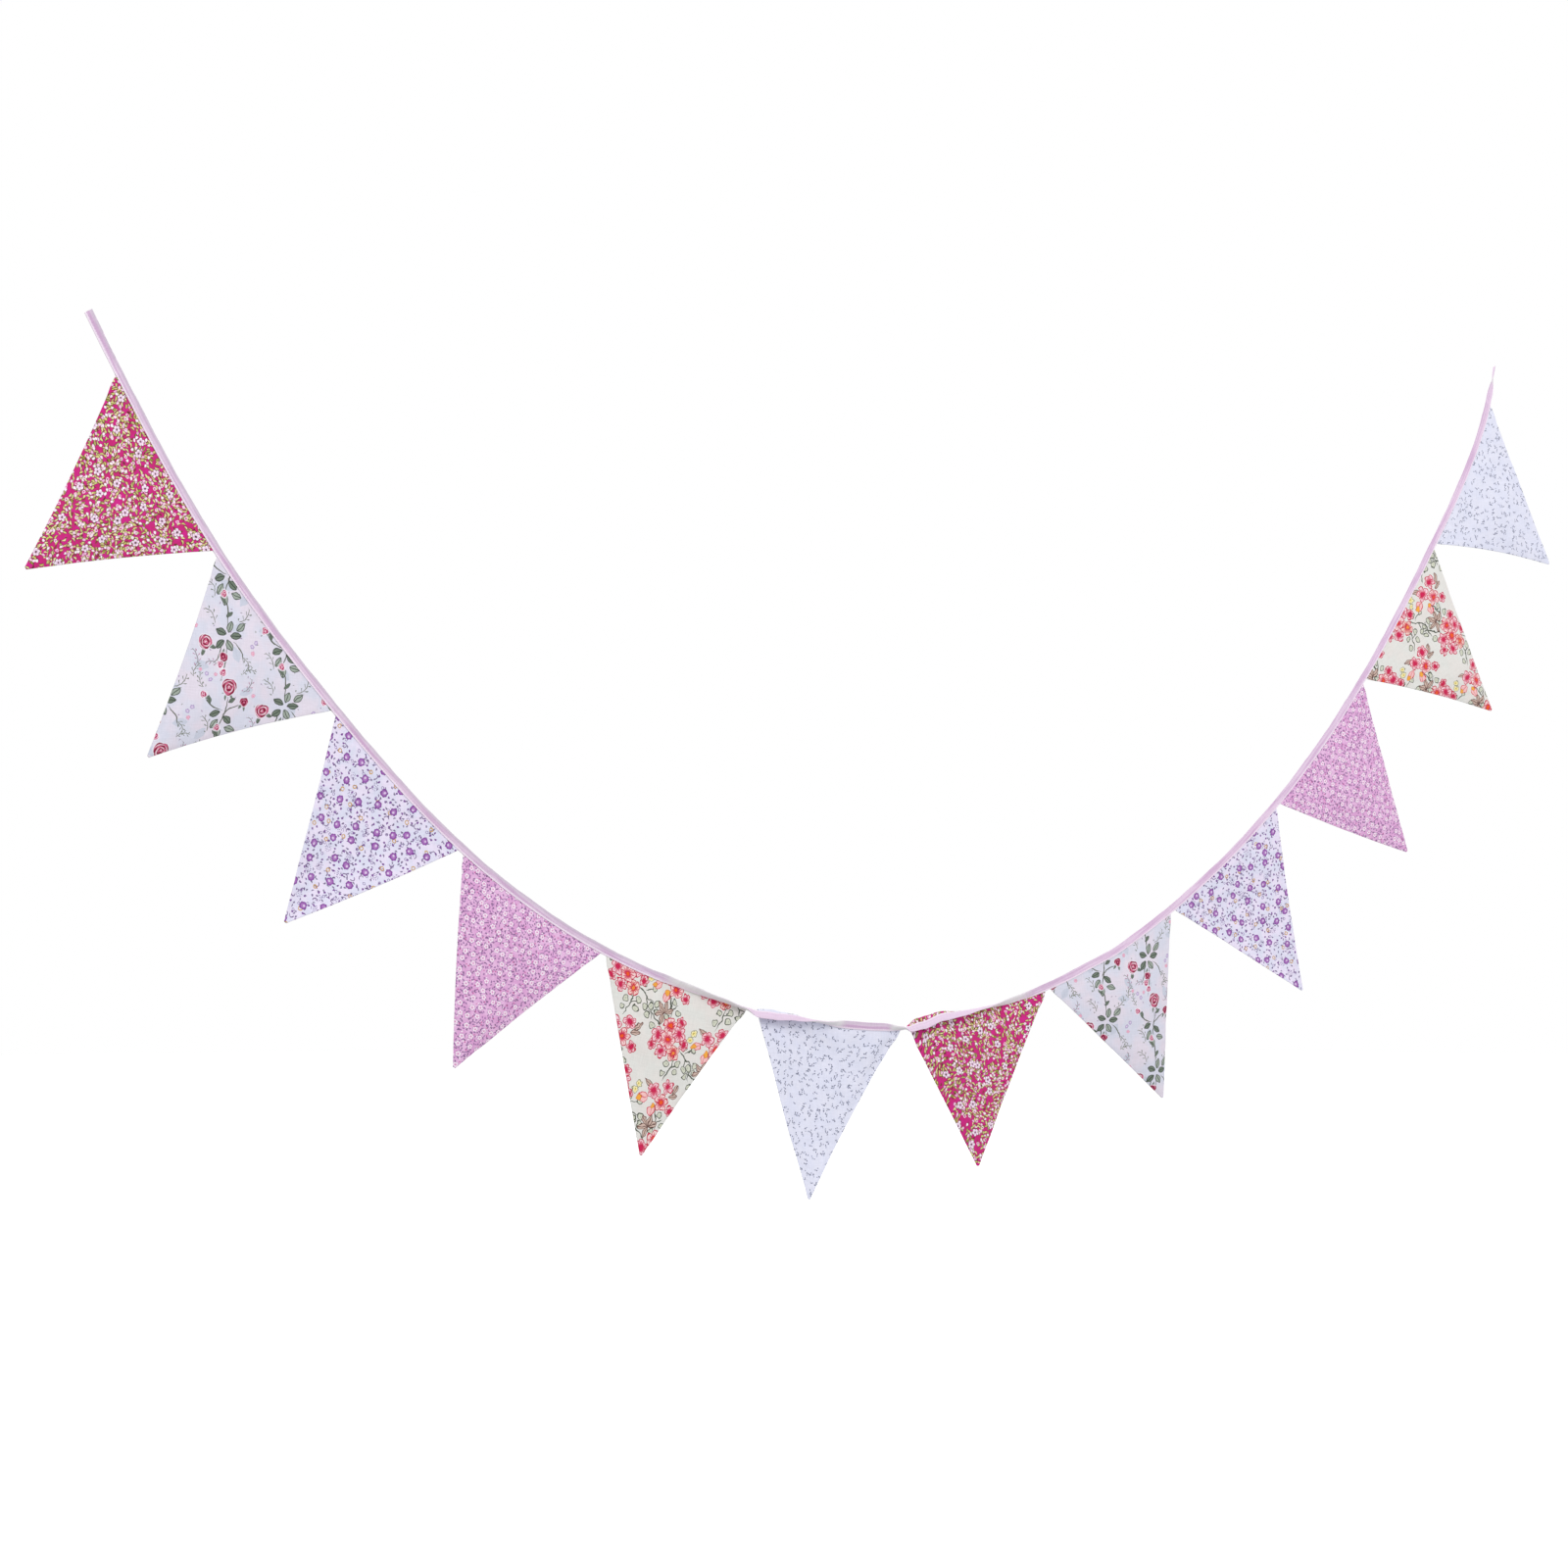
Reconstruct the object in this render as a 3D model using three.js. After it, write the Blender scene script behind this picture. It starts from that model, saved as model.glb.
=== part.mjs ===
// A cotton bunting: twelve three-cornered pennants in six flowered prints, hung in a swag.
// The top edge of each pennant is tucked into a folded binding tape and sewn there.
// The tape hangs by its two free ends. Near its lowest point it rolls forward over two pennants.
// Millimetres, +Z up, the printed front towards -Y, origin at the middle of the tape's left end.

import * as THREE from "three";

// Cut sizes
const PENNANT_BASE = 180;
const PENNANT_GAP = 7;
const PENNANT_THICK = 1;
const TIP_BLUNT = 0.985; // the sewn point ends at this share of the drop
const TUCK = 5; // cloth of the pennant inside the tape's fold

// The binding tape, folded lengthwise around the pennants' top edges
const TAPE_WIDTH = 8;
const TAPE_PLY = 1;
const SEAM_GAP = 0.3;
const LEFT_TAIL = 62;
const RIGHT_TAIL = 46;
const LEFT_END_SLOPE = -61.5;
const RIGHT_END_SLOPE = 79.5;

// Where the tape rolls forward, the cloth turns over on this radius
const FOLD_RADIUS = 2.5;
// Below its top edge a pennant settles from the tape's line to its own straight hang over this depth
const SETTLE_DEPTH = 18;

// One row for each pennant, from the left. Slope is the tape's rise there and lean the turn of the
// pennant about it, in degrees. Drop is the point's distance below the tape, bow how far each side
// edge stands out from straight, swing how far the point stands forward, and cup the belly's depth.
const PENNANTS = [
  { print: "magenta", slope: -58.5, lean: 4, drop: 170, bowLeft: -3, bowRight: -2, swing: 5, cup: 4 },
  { print: "rose", slope: -49.5, lean: 2, drop: 170, bowLeft: -2, bowRight: -4, swing: -4, cup: 6 },
  { print: "violet", slope: -44.5, lean: 1, drop: 176, bowLeft: -1, bowRight: 2, swing: 3, cup: -4 },
  { print: "pink", slope: -32.5, lean: 4, drop: 176, bowLeft: 3, bowRight: -2, swing: -6, cup: 5 },
  { print: "blossom", slope: -19, lean: 3, drop: 174, bowLeft: 0, bowRight: -1, swing: 4, cup: 3 },
  { print: "sprig", slope: -7.5, lean: -3, drop: 182, bowLeft: 0, bowRight: -3, swing: 6, cup: -5 },
  { print: "magenta", slope: 9.5, lean: -9, drop: 162, bowLeft: 0, bowRight: -2, swing: -3, cup: 4 },
  { print: "rose", slope: 26.5, lean: -1, drop: 176, bowLeft: 0, bowRight: -2, swing: -5, cup: 5 },
  { print: "violet", slope: 37, lean: -1, drop: 182, bowLeft: -1, bowRight: -1, swing: 4, cup: -3 },
  { print: "pink", slope: 47.5, lean: 0, drop: 180, bowLeft: 2, bowRight: -1, swing: -4, cup: 4 },
  { print: "blossom", slope: 55.5, lean: -3, drop: 176, bowLeft: -3, bowRight: 0, swing: 3, cup: 5 },
  { print: "sprig", slope: 61, lean: -7, drop: 172, bowLeft: -4, bowRight: -1, swing: -5, cup: 3 },
];

// How the tape rolls forward about its length. "at" counts pennants: 6.25 is a quarter along the
// sixth. Roll is in degrees, strip is the pennant's own cloth turned over with the tape, and shift
// is how far the tape is pushed up from its even line.
const ROLLS = [
  { at: 5.25, roll: 0, strip: 0, shift: 0 },
  { at: 5.5, roll: 45, strip: 0, shift: 0.8 },
  { at: 5.75, roll: 74, strip: 0, shift: -0.4 },
  { at: 5.9, roll: 92, strip: 0, shift: -2.4 },
  { at: 6, roll: 145, strip: 1, shift: -5.2 },
  { at: 6.1, roll: 150, strip: 1.5, shift: -3.6 },
  { at: 6.24, roll: 130, strip: 1, shift: -1.4 },
  { at: 6.4, roll: 86, strip: 0, shift: -0.6 },
  { at: 6.62, roll: 15, strip: 0, shift: -0.6 },
  { at: 6.82, roll: 12, strip: 0, shift: -1.2 },
  { at: 6.95, roll: 66, strip: 0, shift: -3 },
  { at: 7, roll: 120, strip: 0.5, shift: -4.6 },
  { at: 7.08, roll: 150, strip: 3.4, shift: -2 },
  { at: 7.24, roll: 152, strip: 0.6, shift: 4.2 },
  { at: 7.36, roll: 122, strip: 0, shift: 4 },
  { at: 7.5, roll: 90, strip: 0, shift: 4.5 },
  { at: 7.74, roll: 40, strip: 0, shift: 4.3 },
  { at: 7.96, roll: 8, strip: 0, shift: 3.6 },
  { at: 8.24, roll: 0, strip: 0, shift: 2.9 },
  { at: 8.55, roll: 0, strip: 0, shift: 0 },
  { at: 13.03, roll: 0, strip: 0, shift: 0 },
  { at: 13.18, roll: 62, strip: 0, shift: 0 },
];

// Mesh steps
const COLUMNS = 10;
const ROLLED_COLUMNS = 36;
const ROLL_SHOWS = 10; // degrees of roll from which a pennant gets the finer steps
const TAIL_STEPS = 5;
const GAP_STEPS = 3;
const TUCK_ROWS = [-TUCK, 0];
const FOLD_ROWS = [2, 4, 6, 8.5, 11];
const HANG_ROWS = [14, 32, 56, 84, 112, 138];
const LINE_STEP = 1;
const NUDGE = 0.5; // step over which the cloth's direction is measured
const TWISTED = 0.15; // how far a face's diagonals may pass each other before it gets a centre

const COLOURS = {
  tape: 0xe2c9e2,
  magenta: 0xc9307f,
  rose: 0xe4e3ee,
  violet: 0xd9d2ea,
  pink: 0xdfa6d6,
  blossom: 0xdedbd2,
  sprig: 0xe0e2f2,
};

const PITCH = PENNANT_BASE + PENNANT_GAP;
const HALF_BASE = PENNANT_BASE / 2;
const FORWARD = new THREE.Vector3(0, -1, 0);
const { degToRad, smoothstep, lerp } = THREE.MathUtils;

const lengthAt = (at) => LEFT_TAIL + (at - 1) * PITCH;
const middleOf = (index) => lengthAt(index + 1) + HALF_BASE;
const TAPE_LENGTH = lengthAt(PENNANTS.length) + PENNANT_BASE + RIGHT_TAIL;

// The tape's rise at any length along it, through each pennant's own slope.
const slopeStations = [0, ...PENNANTS.map((_, index) => middleOf(index)), TAPE_LENGTH];
const slopeValues = [LEFT_END_SLOPE, ...PENNANTS.map((p) => p.slope), RIGHT_END_SLOPE];
const slopeCurve = new THREE.CubicInterpolant(slopeStations, slopeValues, 1);
const riseAt = (length) => degToRad(slopeCurve.evaluate(length)[0]);

// The lower edge of the unrolled tape, walked from its left end in short steps.
function walkTape() {
  const start = riseAt(0);
  const half = TAPE_WIDTH / 2;
  const points = [new THREE.Vector3(half * Math.sin(start), 0, -half * Math.cos(start))];
  for (let length = 0; length < TAPE_LENGTH; length += LINE_STEP) {
    const rise = riseAt(Math.min(length + LINE_STEP / 2, TAPE_LENGTH));
    const step = new THREE.Vector3(Math.cos(rise), 0, Math.sin(rise)).multiplyScalar(LINE_STEP);
    points.push(points.at(-1).clone().add(step));
  }
  return points;
}
const tapeLine = walkTape();

function pointOnTape(length) {
  const place = THREE.MathUtils.clamp(length, 0, TAPE_LENGTH) / LINE_STEP;
  const index = Math.min(Math.floor(place), tapeLine.length - 2);
  return tapeLine[index].clone().lerp(tapeLine[index + 1], place - index);
}

// The roll and the turned-over strip of cloth at any length along the tape.
function rollAt(length) {
  const last = ROLLS.length - 1;
  if (length <= lengthAt(ROLLS[0].at)) return ROLLS[0];
  if (length >= lengthAt(ROLLS[last].at)) return ROLLS[last];
  const next = ROLLS.findIndex((row) => lengthAt(row.at) > length);
  const [before, after] = [ROLLS[next - 1], ROLLS[next]];
  const share = smoothstep(length, lengthAt(before.at), lengthAt(after.at));
  return {
    roll: lerp(before.roll, after.roll, share),
    strip: lerp(before.strip, after.strip, share),
    shift: lerp(before.shift, after.shift, share),
  };
}

// The fold across the tape at one length. The tape turns about its own middle line, and the
// pennant's cloth turns back down on the fold's radius. Start is where that turn begins.
function foldAt(length) {
  const { roll, strip, shift } = rollAt(length);
  const turn = degToRad(roll);
  const arc = FOLD_RADIUS * turn;
  const reach = TAPE_WIDTH / 2 + strip;
  return {
    turn,
    arc,
    begin: strip + arc,
    startUp: TAPE_WIDTH / 2 + shift - reach * Math.cos(turn) - FOLD_RADIUS * Math.sin(turn),
    startForward: -reach * Math.sin(turn) - FOLD_RADIUS * (1 - Math.cos(turn)),
  };
}

// A point of the cloth that the tape carries: depth runs down from the tape's lower edge and is
// negative inside the tape, and off is the distance in front of the cloth's middle.
function carriedPoint(length, depth, off = 0) {
  const { turn, arc, begin, startUp, startForward } = foldAt(length);
  const rise = riseAt(THREE.MathUtils.clamp(length, 0, TAPE_LENGTH));
  const up = new THREE.Vector3(-Math.sin(rise), 0, Math.cos(rise));
  const past = begin - depth;
  const angle = THREE.MathUtils.clamp(past / FOLD_RADIUS, 0, turn);
  const straight = past > 0 ? Math.max(past - arc, 0) : past;
  const height = FOLD_RADIUS * Math.sin(angle) + straight * Math.cos(angle) - off * Math.sin(angle);
  const forward =
    FOLD_RADIUS * (1 - Math.cos(angle)) + straight * Math.sin(angle) + off * Math.cos(angle);
  return pointOnTape(length)
    .addScaledVector(up, startUp + height)
    .addScaledVector(FORWARD, startForward + forward);
}

// A closed skin over a grid of points: the outside of a sheet and its inside, row by row.
// Each four-sided face is split along its shorter diagonal, or from its centre where it is twisted.
function sheetSolid(outside, inside) {
  const rows = outside.length;
  const columns = outside[0].length;
  const points = [...outside.flat(), ...inside.flat()];
  const outer = (row, column) => row * columns + column;
  const inner = (row, column) => rows * columns + row * columns + column;
  const faces = [];
  const quad = (a, b, c, d) => {
    const [one, other] = [[a, c], [b, d]].map(([i, j]) => points[i].clone().lerp(points[j], 0.5));
    const [first, second] = [[a, c], [b, d]].map(([i, j]) => points[j].clone().sub(points[i]));
    const across = first.cross(second).normalize();
    if (Math.abs(one.clone().sub(other).dot(across)) > TWISTED) {
      const centre = points.push(one.lerp(other, 0.5)) - 1;
      faces.push(a, b, centre, b, c, centre, c, d, centre, d, a, centre);
    } else if (points[a].distanceTo(points[c]) <= points[b].distanceTo(points[d])) {
      faces.push(a, b, c, a, c, d);
    } else {
      faces.push(a, b, d, b, c, d);
    }
  };
  for (let r = 0; r + 1 < rows; r++) {
    for (let c = 0; c + 1 < columns; c++) {
      quad(outer(r, c), outer(r + 1, c), outer(r + 1, c + 1), outer(r, c + 1));
      quad(inner(r, c), inner(r, c + 1), inner(r + 1, c + 1), inner(r + 1, c));
    }
    const end = columns - 1;
    quad(outer(r, 0), inner(r, 0), inner(r + 1, 0), outer(r + 1, 0));
    quad(outer(r, end), outer(r + 1, end), inner(r + 1, end), inner(r, end));
  }
  for (let c = 0; c + 1 < columns; c++) {
    const end = rows - 1;
    quad(outer(0, c), outer(0, c + 1), inner(0, c + 1), inner(0, c));
    quad(outer(end, c), inner(end, c), inner(end, c + 1), outer(end, c + 1));
  }
  const geometry = new THREE.BufferGeometry().setFromPoints(points);
  geometry.setIndex(faces);
  geometry.computeVertexNormals();
  return geometry;
}

const evenSteps = (from, to, count) =>
  Array.from({ length: count + 1 }, (_, i) => lerp(from, to, i / count));
const isRolled = (index) =>
  evenSteps(-1, 1, COLUMNS).some(
    (across) => rollAt(middleOf(index) + across * HALF_BASE).roll > ROLL_SHOWS,
  );
const sharesAcross = (index) => evenSteps(-1, 1, isRolled(index) ? ROLLED_COLUMNS : COLUMNS);

// The straight hang of one pennant: the line of its top edge, its own upward direction, and its point.
function hangOf(index) {
  const { lean, drop } = PENNANTS[index];
  const left = pointOnTape(middleOf(index) - HALF_BASE);
  const right = pointOnTape(middleOf(index) + HALF_BASE);
  const along = right.clone().sub(left).normalize();
  const angle = Math.atan2(along.z, along.x) + degToRad(lean);
  const upward = new THREE.Vector3(-Math.sin(angle), 0, Math.cos(angle));
  const point = left.lerp(right, 0.5).addScaledVector(upward, -drop);
  return { along, upward, point };
}

// A place on the middle of one pennant's cloth, from a share across (-1 to 1) and a depth.
// It follows the tape at the top, and below that lies on the lines that run from there to the point.
function pennantPoint(index, across, depth) {
  const { drop, bowLeft, bowRight, swing, cup } = PENNANTS[index];
  const { along, upward, point } = hangOf(index);
  const share = THREE.MathUtils.clamp(depth / drop, 0, 1);
  const edge = middleOf(index) + across * HALF_BASE;
  const length = middleOf(index) + across * HALF_BASE * (1 - share);
  const turned = foldAt(length).begin;
  const settled = smoothstep(depth, turned, turned + SETTLE_DEPTH);
  const bow = (across < 0 ? bowLeft : bowRight) * across * Math.sin(Math.PI * share);
  const belly = 4 * cup * share * (1 - share) * (1 - across * across);
  const hung = carriedPoint(edge, foldAt(edge).begin)
    .addScaledVector(upward, foldAt(edge).begin)
    .lerp(point, share)
    .addScaledVector(along, bow)
    .addScaledVector(FORWARD, swing * share * share + belly);
  return carriedPoint(length, depth).lerp(hung, settled);
}

// One pennant's solid: the cloth's middle, thickened to both sides.
function pennantGeometry(index) {
  const foldRows = isRolled(index) ? FOLD_ROWS : [];
  const rows = [...TUCK_ROWS, ...foldRows, ...HANG_ROWS, TIP_BLUNT * PENNANTS[index].drop];
  const shares = sharesAcross(index);
  const outside = [];
  const inside = [];
  for (const depth of rows) {
    const rowAt = (shift) => shares.map((across) => pennantPoint(index, across, depth + shift));
    const [above, middles, below] = [rowAt(-NUDGE), rowAt(0), rowAt(NUDGE)];
    const offsets = middles.map((_, i) => {
      const before = middles[Math.max(i - 1, 0)];
      const after = middles[Math.min(i + 1, shares.length - 1)];
      const down = below[i].clone().sub(above[i]);
      return down.cross(after.clone().sub(before)).setLength(PENNANT_THICK / 2);
    });
    outside.push(middles.map((middle, i) => middle.clone().add(offsets[i])));
    inside.push(middles.map((middle, i) => middle.clone().sub(offsets[i])));
  }
  return sheetSolid(outside, inside);
}

// The tape: one strip folded over the pennants' top edges, its two lips hanging level.
function tapeGeometry() {
  const slit = PENNANT_THICK / 2 + SEAM_GAP;
  const half = slit + TAPE_PLY;
  const shoulder = TUCK + 2 * SEAM_GAP + TAPE_PLY;
  const outline = [
    { off: half, up: 0 },
    { off: half, up: shoulder },
    { off: 0, up: TAPE_WIDTH },
    { off: -half, up: shoulder },
    { off: -half, up: 0 },
  ];
  const lining = [
    { off: slit, up: 0 },
    { off: slit, up: TUCK },
    { off: 0, up: TAPE_WIDTH - TAPE_PLY },
    { off: -slit, up: TUCK },
    { off: -slit, up: 0 },
  ];
  const lengths = evenSteps(0, LEFT_TAIL, TAIL_STEPS);
  PENNANTS.forEach((_, index) => {
    const edges = sharesAcross(index).map((across) => middleOf(index) + across * HALF_BASE);
    if (index > 0) lengths.push(...evenSteps(lengths.at(-1), edges[0], GAP_STEPS).slice(1));
    lengths.push(...edges.slice(1));
  });
  lengths.push(...evenSteps(lengths.at(-1), TAPE_LENGTH, TAIL_STEPS).slice(1));
  const place = (length) => (spot) => carriedPoint(length, -spot.up, spot.off);
  const outside = lengths.map((length) => outline.map(place(length)));
  const inside = lengths.map((length) => lining.map(place(length)));
  return sheetSolid(outside, inside);
}

function clothMesh(name, geometry, colour) {
  const material = new THREE.MeshStandardMaterial({ color: colour, roughness: 0.9, metalness: 0 });
  const mesh = new THREE.Mesh(geometry, material);
  mesh.name = name;
  return mesh;
}

const bunting = new THREE.Group();
bunting.add(clothMesh("binding_tape", tapeGeometry(), COLOURS.tape));
PENNANTS.forEach((row, index) => {
  const name = `pennant_${String(index + 1).padStart(2, "0")}`;
  bunting.add(clothMesh(name, pennantGeometry(index), COLOURS[row.print]));
});

export default bunting;
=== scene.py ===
import bpy
import numpy as np
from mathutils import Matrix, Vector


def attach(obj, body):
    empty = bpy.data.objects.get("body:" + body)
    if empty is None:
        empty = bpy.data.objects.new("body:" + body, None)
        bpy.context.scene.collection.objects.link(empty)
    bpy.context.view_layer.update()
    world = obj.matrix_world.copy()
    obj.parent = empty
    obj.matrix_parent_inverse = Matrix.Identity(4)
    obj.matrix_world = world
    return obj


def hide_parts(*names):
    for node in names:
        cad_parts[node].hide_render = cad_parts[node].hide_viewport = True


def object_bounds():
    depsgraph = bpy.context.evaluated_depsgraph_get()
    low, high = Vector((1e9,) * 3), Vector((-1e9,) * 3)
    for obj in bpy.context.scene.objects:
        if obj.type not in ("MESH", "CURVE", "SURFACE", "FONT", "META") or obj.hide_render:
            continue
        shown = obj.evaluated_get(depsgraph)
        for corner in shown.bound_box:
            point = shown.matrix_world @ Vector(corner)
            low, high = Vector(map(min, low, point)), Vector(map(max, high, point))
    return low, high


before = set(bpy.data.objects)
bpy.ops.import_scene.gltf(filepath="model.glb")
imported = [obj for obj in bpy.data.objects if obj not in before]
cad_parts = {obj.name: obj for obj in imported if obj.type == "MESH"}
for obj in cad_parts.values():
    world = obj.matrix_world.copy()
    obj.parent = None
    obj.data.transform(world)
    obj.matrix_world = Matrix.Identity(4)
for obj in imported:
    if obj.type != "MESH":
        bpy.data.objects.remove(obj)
cad_low, cad_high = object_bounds()

# Binding tape: one strip of plain pink cotton, folded lengthwise with its raw edges turned in.
# It is the line that the bunting hangs by, 8 mm wide when folded, with a bare tail at each end.
# Near the bottom of the swag it has rolled forward over the sixth and seventh pennants.
MM = 0.001
PENNANT_COUNT = 12
PENNANT_BASE = 180.0
PENNANT_PITCH = 187.0
TAPE_WIDTH = 8.0
LEFT_TAIL = 62.0
RIGHT_TAIL = 46.0
TAPE_LENGTH = LEFT_TAIL + (PENNANT_COUNT - 1) * PENNANT_PITCH + PENNANT_BASE + RIGHT_TAIL
FOLD_RADIUS = 2.5
FORWARD = np.array([0.0, -1.0, 0.0])

# The tape's slope in degrees at its left end, at the middle of each pennant and at its right end.
TAPE_SLOPES = [-61.5, -58.5, -49.5, -44.5, -32.5, -19, -7.5, 9.5, 26.5, 37, 47.5, 55.5, 61, 79.5]
# Where the tape rolls: place counted in pennants, roll in degrees, the pennant's own cloth that
# turns over with the tape in mm, and how far the tape is pushed up in mm.
TAPE_ROLLS = np.array([
    (5.25, 0, 0, 0), (5.5, 45, 0, 0.8), (5.75, 74, 0, -0.4), (5.9, 92, 0, -2.4), (6, 145, 1, -5.2),
    (6.1, 150, 1.5, -3.6), (6.24, 130, 1, -1.4), (6.4, 86, 0, -0.6), (6.62, 15, 0, -0.6),
    (6.82, 12, 0, -1.2), (6.95, 66, 0, -3), (7, 120, 0.5, -4.6), (7.08, 150, 3.4, -2),
    (7.24, 152, 0.6, 4.2), (7.36, 122, 0, 4), (7.5, 90, 0, 4.5), (7.74, 40, 0, 4.3),
    (7.96, 8, 0, 3.6), (8.24, 0, 0, 2.9), (8.55, 0, 0, 0), (13.03, 0, 0, 0), (13.18, 62, 0, 0),
])


def length_at(place):
    return LEFT_TAIL + (place - 1) * PENNANT_PITCH


middles = length_at(np.arange(1, PENNANT_COUNT + 1)) + PENNANT_BASE / 2
slope_stations = np.concatenate([[0], middles, [TAPE_LENGTH]])
slope_values = np.radians(TAPE_SLOPES)
secants = np.diff(slope_values) / np.diff(slope_stations)
slope_tangents = np.concatenate([secants[:1], (secants[1:] + secants[:-1]) / 2, secants[-1:]])


def rise_at(length):
    """The tape's rise in radians, a smooth curve through the slopes."""
    length = np.clip(length, 0, TAPE_LENGTH)
    index = np.clip(np.searchsorted(slope_stations, length) - 1, 0, len(secants) - 1)
    span = slope_stations[index + 1] - slope_stations[index]
    p = (length - slope_stations[index]) / span
    return (
        slope_values[index] * (2 * p**3 - 3 * p**2 + 1)
        + slope_values[index + 1] * (3 * p**2 - 2 * p**3)
        + slope_tangents[index] * span * (p**3 - 2 * p**2 + p)
        + slope_tangents[index + 1] * span * (p**3 - p**2)
    )


walk = np.arange(0, TAPE_LENGTH + 1)
step_rise = rise_at(walk[:-1] + 0.5)
start_rise = rise_at(0.0)
line_x = np.concatenate([[0], np.cumsum(np.cos(step_rise))]) + TAPE_WIDTH / 2 * np.sin(start_rise)
line_z = np.concatenate([[0], np.cumsum(np.sin(step_rise))]) - TAPE_WIDTH / 2 * np.cos(start_rise)


def tape_point(length):
    """A place on the tape's lower edge before it is rolled."""
    x = np.interp(length, walk, line_x)
    z = np.interp(length, walk, line_z)
    return np.stack([x, np.zeros_like(x), z], -1)


def smooth_share(value, low, high):
    share = np.clip((value - low) / (high - low), 0, 1)
    return share * share * (3 - 2 * share)


def fold_at(length):
    """The turn of the roll, the depth where it begins, and where that is, up and forward."""
    stations = length_at(TAPE_ROLLS[:, 0])
    index = np.clip(np.searchsorted(stations, length) - 1, 0, len(stations) - 2)
    share = smooth_share(length, stations[index], stations[index + 1])
    before, after = TAPE_ROLLS[index, 1:], TAPE_ROLLS[index + 1, 1:]
    roll, strip, shift = np.moveaxis(before + (after - before) * share[..., None], -1, 0)
    turn = np.radians(roll)
    reach = TAPE_WIDTH / 2 + strip
    start_up = TAPE_WIDTH / 2 + shift - reach * np.cos(turn) - FOLD_RADIUS * np.sin(turn)
    start_forward = -reach * np.sin(turn) - FOLD_RADIUS * (1 - np.cos(turn))
    return turn, strip + FOLD_RADIUS * turn, start_up, start_forward


def carried_point(length, depth, off=0.0):
    """Cloth that the tape carries: depth runs down from its lower edge, off lies in front of it."""
    turn, begin, start_up, start_forward = fold_at(length)
    rise = rise_at(length)
    upward = np.stack([-np.sin(rise), np.zeros_like(rise), np.cos(rise)], -1)
    past = begin - depth
    angle = np.clip(past / FOLD_RADIUS, 0, turn)
    straight = np.where(past > 0, np.maximum(past - FOLD_RADIUS * turn, 0), past)
    height = FOLD_RADIUS * np.sin(angle) + straight * np.cos(angle) - off * np.sin(angle)
    forward = FOLD_RADIUS * (1 - np.cos(angle)) + straight * np.sin(angle) + off * np.cos(angle)
    height, forward = start_up + height, start_forward + forward
    return tape_point(length) + upward * height[..., None] + FORWARD * forward[..., None]


def wavering(along, seed, waves):
    """A seeded sum of sine waves, given as (length in mm, height in mm) pairs."""
    draw = np.random.default_rng(seed)
    return sum(
        height * np.sin(2 * np.pi * along / (length * draw.uniform(0.85, 1.15)) + draw.uniform(0, 6.3))
        for length, height in waves
    )


def cloth_object(name, points, faces, cloth_places):
    """A piece of cloth from points in mm, with its flat places in mm kept as a UV map."""
    mesh = bpy.data.meshes.new(name)
    mesh.from_pydata((points * MM).tolist(), [], faces)
    uv_map = mesh.uv_layers.new(name="cloth")
    uv_map.uv.foreach_set("vector", cloth_places.astype(np.float32).ravel())
    mesh.shade_smooth()
    mesh.validate()
    piece = bpy.data.objects.new(name, mesh)
    bpy.context.scene.collection.objects.link(piece)
    return piece


# One half of the folded section, from the lip to the fold: off the middle and up, in mm, first for
# the outside over a pennant, then for the lining. The lips are doubled by the edges turned in.
TAPE_OUTSIDE = np.array([
    (0.8, -0.1), (1.04, 0.05), (1.14, 0.4), (1.14, 0.95), (1.0, 1.6), (1.12, 2.25), (1.12, 3.4),
    (1.05, 4.7), (0.93, 5.9), (0.74, 6.9), (0.48, 7.6), (0.23, 7.92),
])
TAPE_LINING = np.array([(0.64, 0.02), (0.58, 0.5), (0.56, 1.6), (0.56, 5.1), (0.42, 6.1), (0.2, 6.8)])
TAPE_FOLD_OUT = (0.0, 8.0)
TAPE_FOLD_IN = (0.0, 7.2)
TAPE_STEP = 2.0
TAPE_CLOSED = 0.52  # how far the outside draws in where no pennant is held
CLOSE_OVER = 3.5  # mm along the tape

tape_lengths = np.linspace(0, TAPE_LENGTH, int(TAPE_LENGTH / TAPE_STEP) + 1)
nearest_middle = np.abs(tape_lengths[:, None] - middles).min(1)
held_open = 1 - smooth_share(nearest_middle, PENNANT_BASE / 2 + 0.3, PENNANT_BASE / 2 + CLOSE_OVER)
mirror = np.array([-1, 1])
section = np.concatenate([
    TAPE_OUTSIDE, [TAPE_FOLD_OUT], TAPE_OUTSIDE[::-1] * mirror,
    TAPE_LINING * mirror, [TAPE_FOLD_IN], TAPE_LINING[::-1],
])
outside_count = 2 * len(TAPE_OUTSIDE) + 1
is_outside = np.arange(len(section)) < outside_count
drawn_in = np.where(is_outside, TAPE_CLOSED, 0.5) * np.sign(section[:, 0])
drawn_in *= np.minimum(np.abs(section[:, 0]) / 0.56, 1)
off = section[:, 0] - drawn_in * (1 - held_open[:, None])
up = np.broadcast_to(section[:, 1], off.shape).copy()
body = smooth_share(section[:, 1], 1.0, 3.4)
pucker = wavering(tape_lengths, 11, [(9, 0.07), (14, 0.06), (31, 0.06)])
off += np.where(is_outside, np.sign(section[:, 0]) * body, 0) * pucker[:, None]
fold_sway = wavering(tape_lengths, 12, [(47, 0.12), (110, 0.16), (23, 0.06)])
up += smooth_share(section[:, 1], 4.8, 8.0) * fold_sway[:, None]
tape_points = carried_point(np.broadcast_to(tape_lengths[:, None], off.shape), -up, off)

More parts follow.
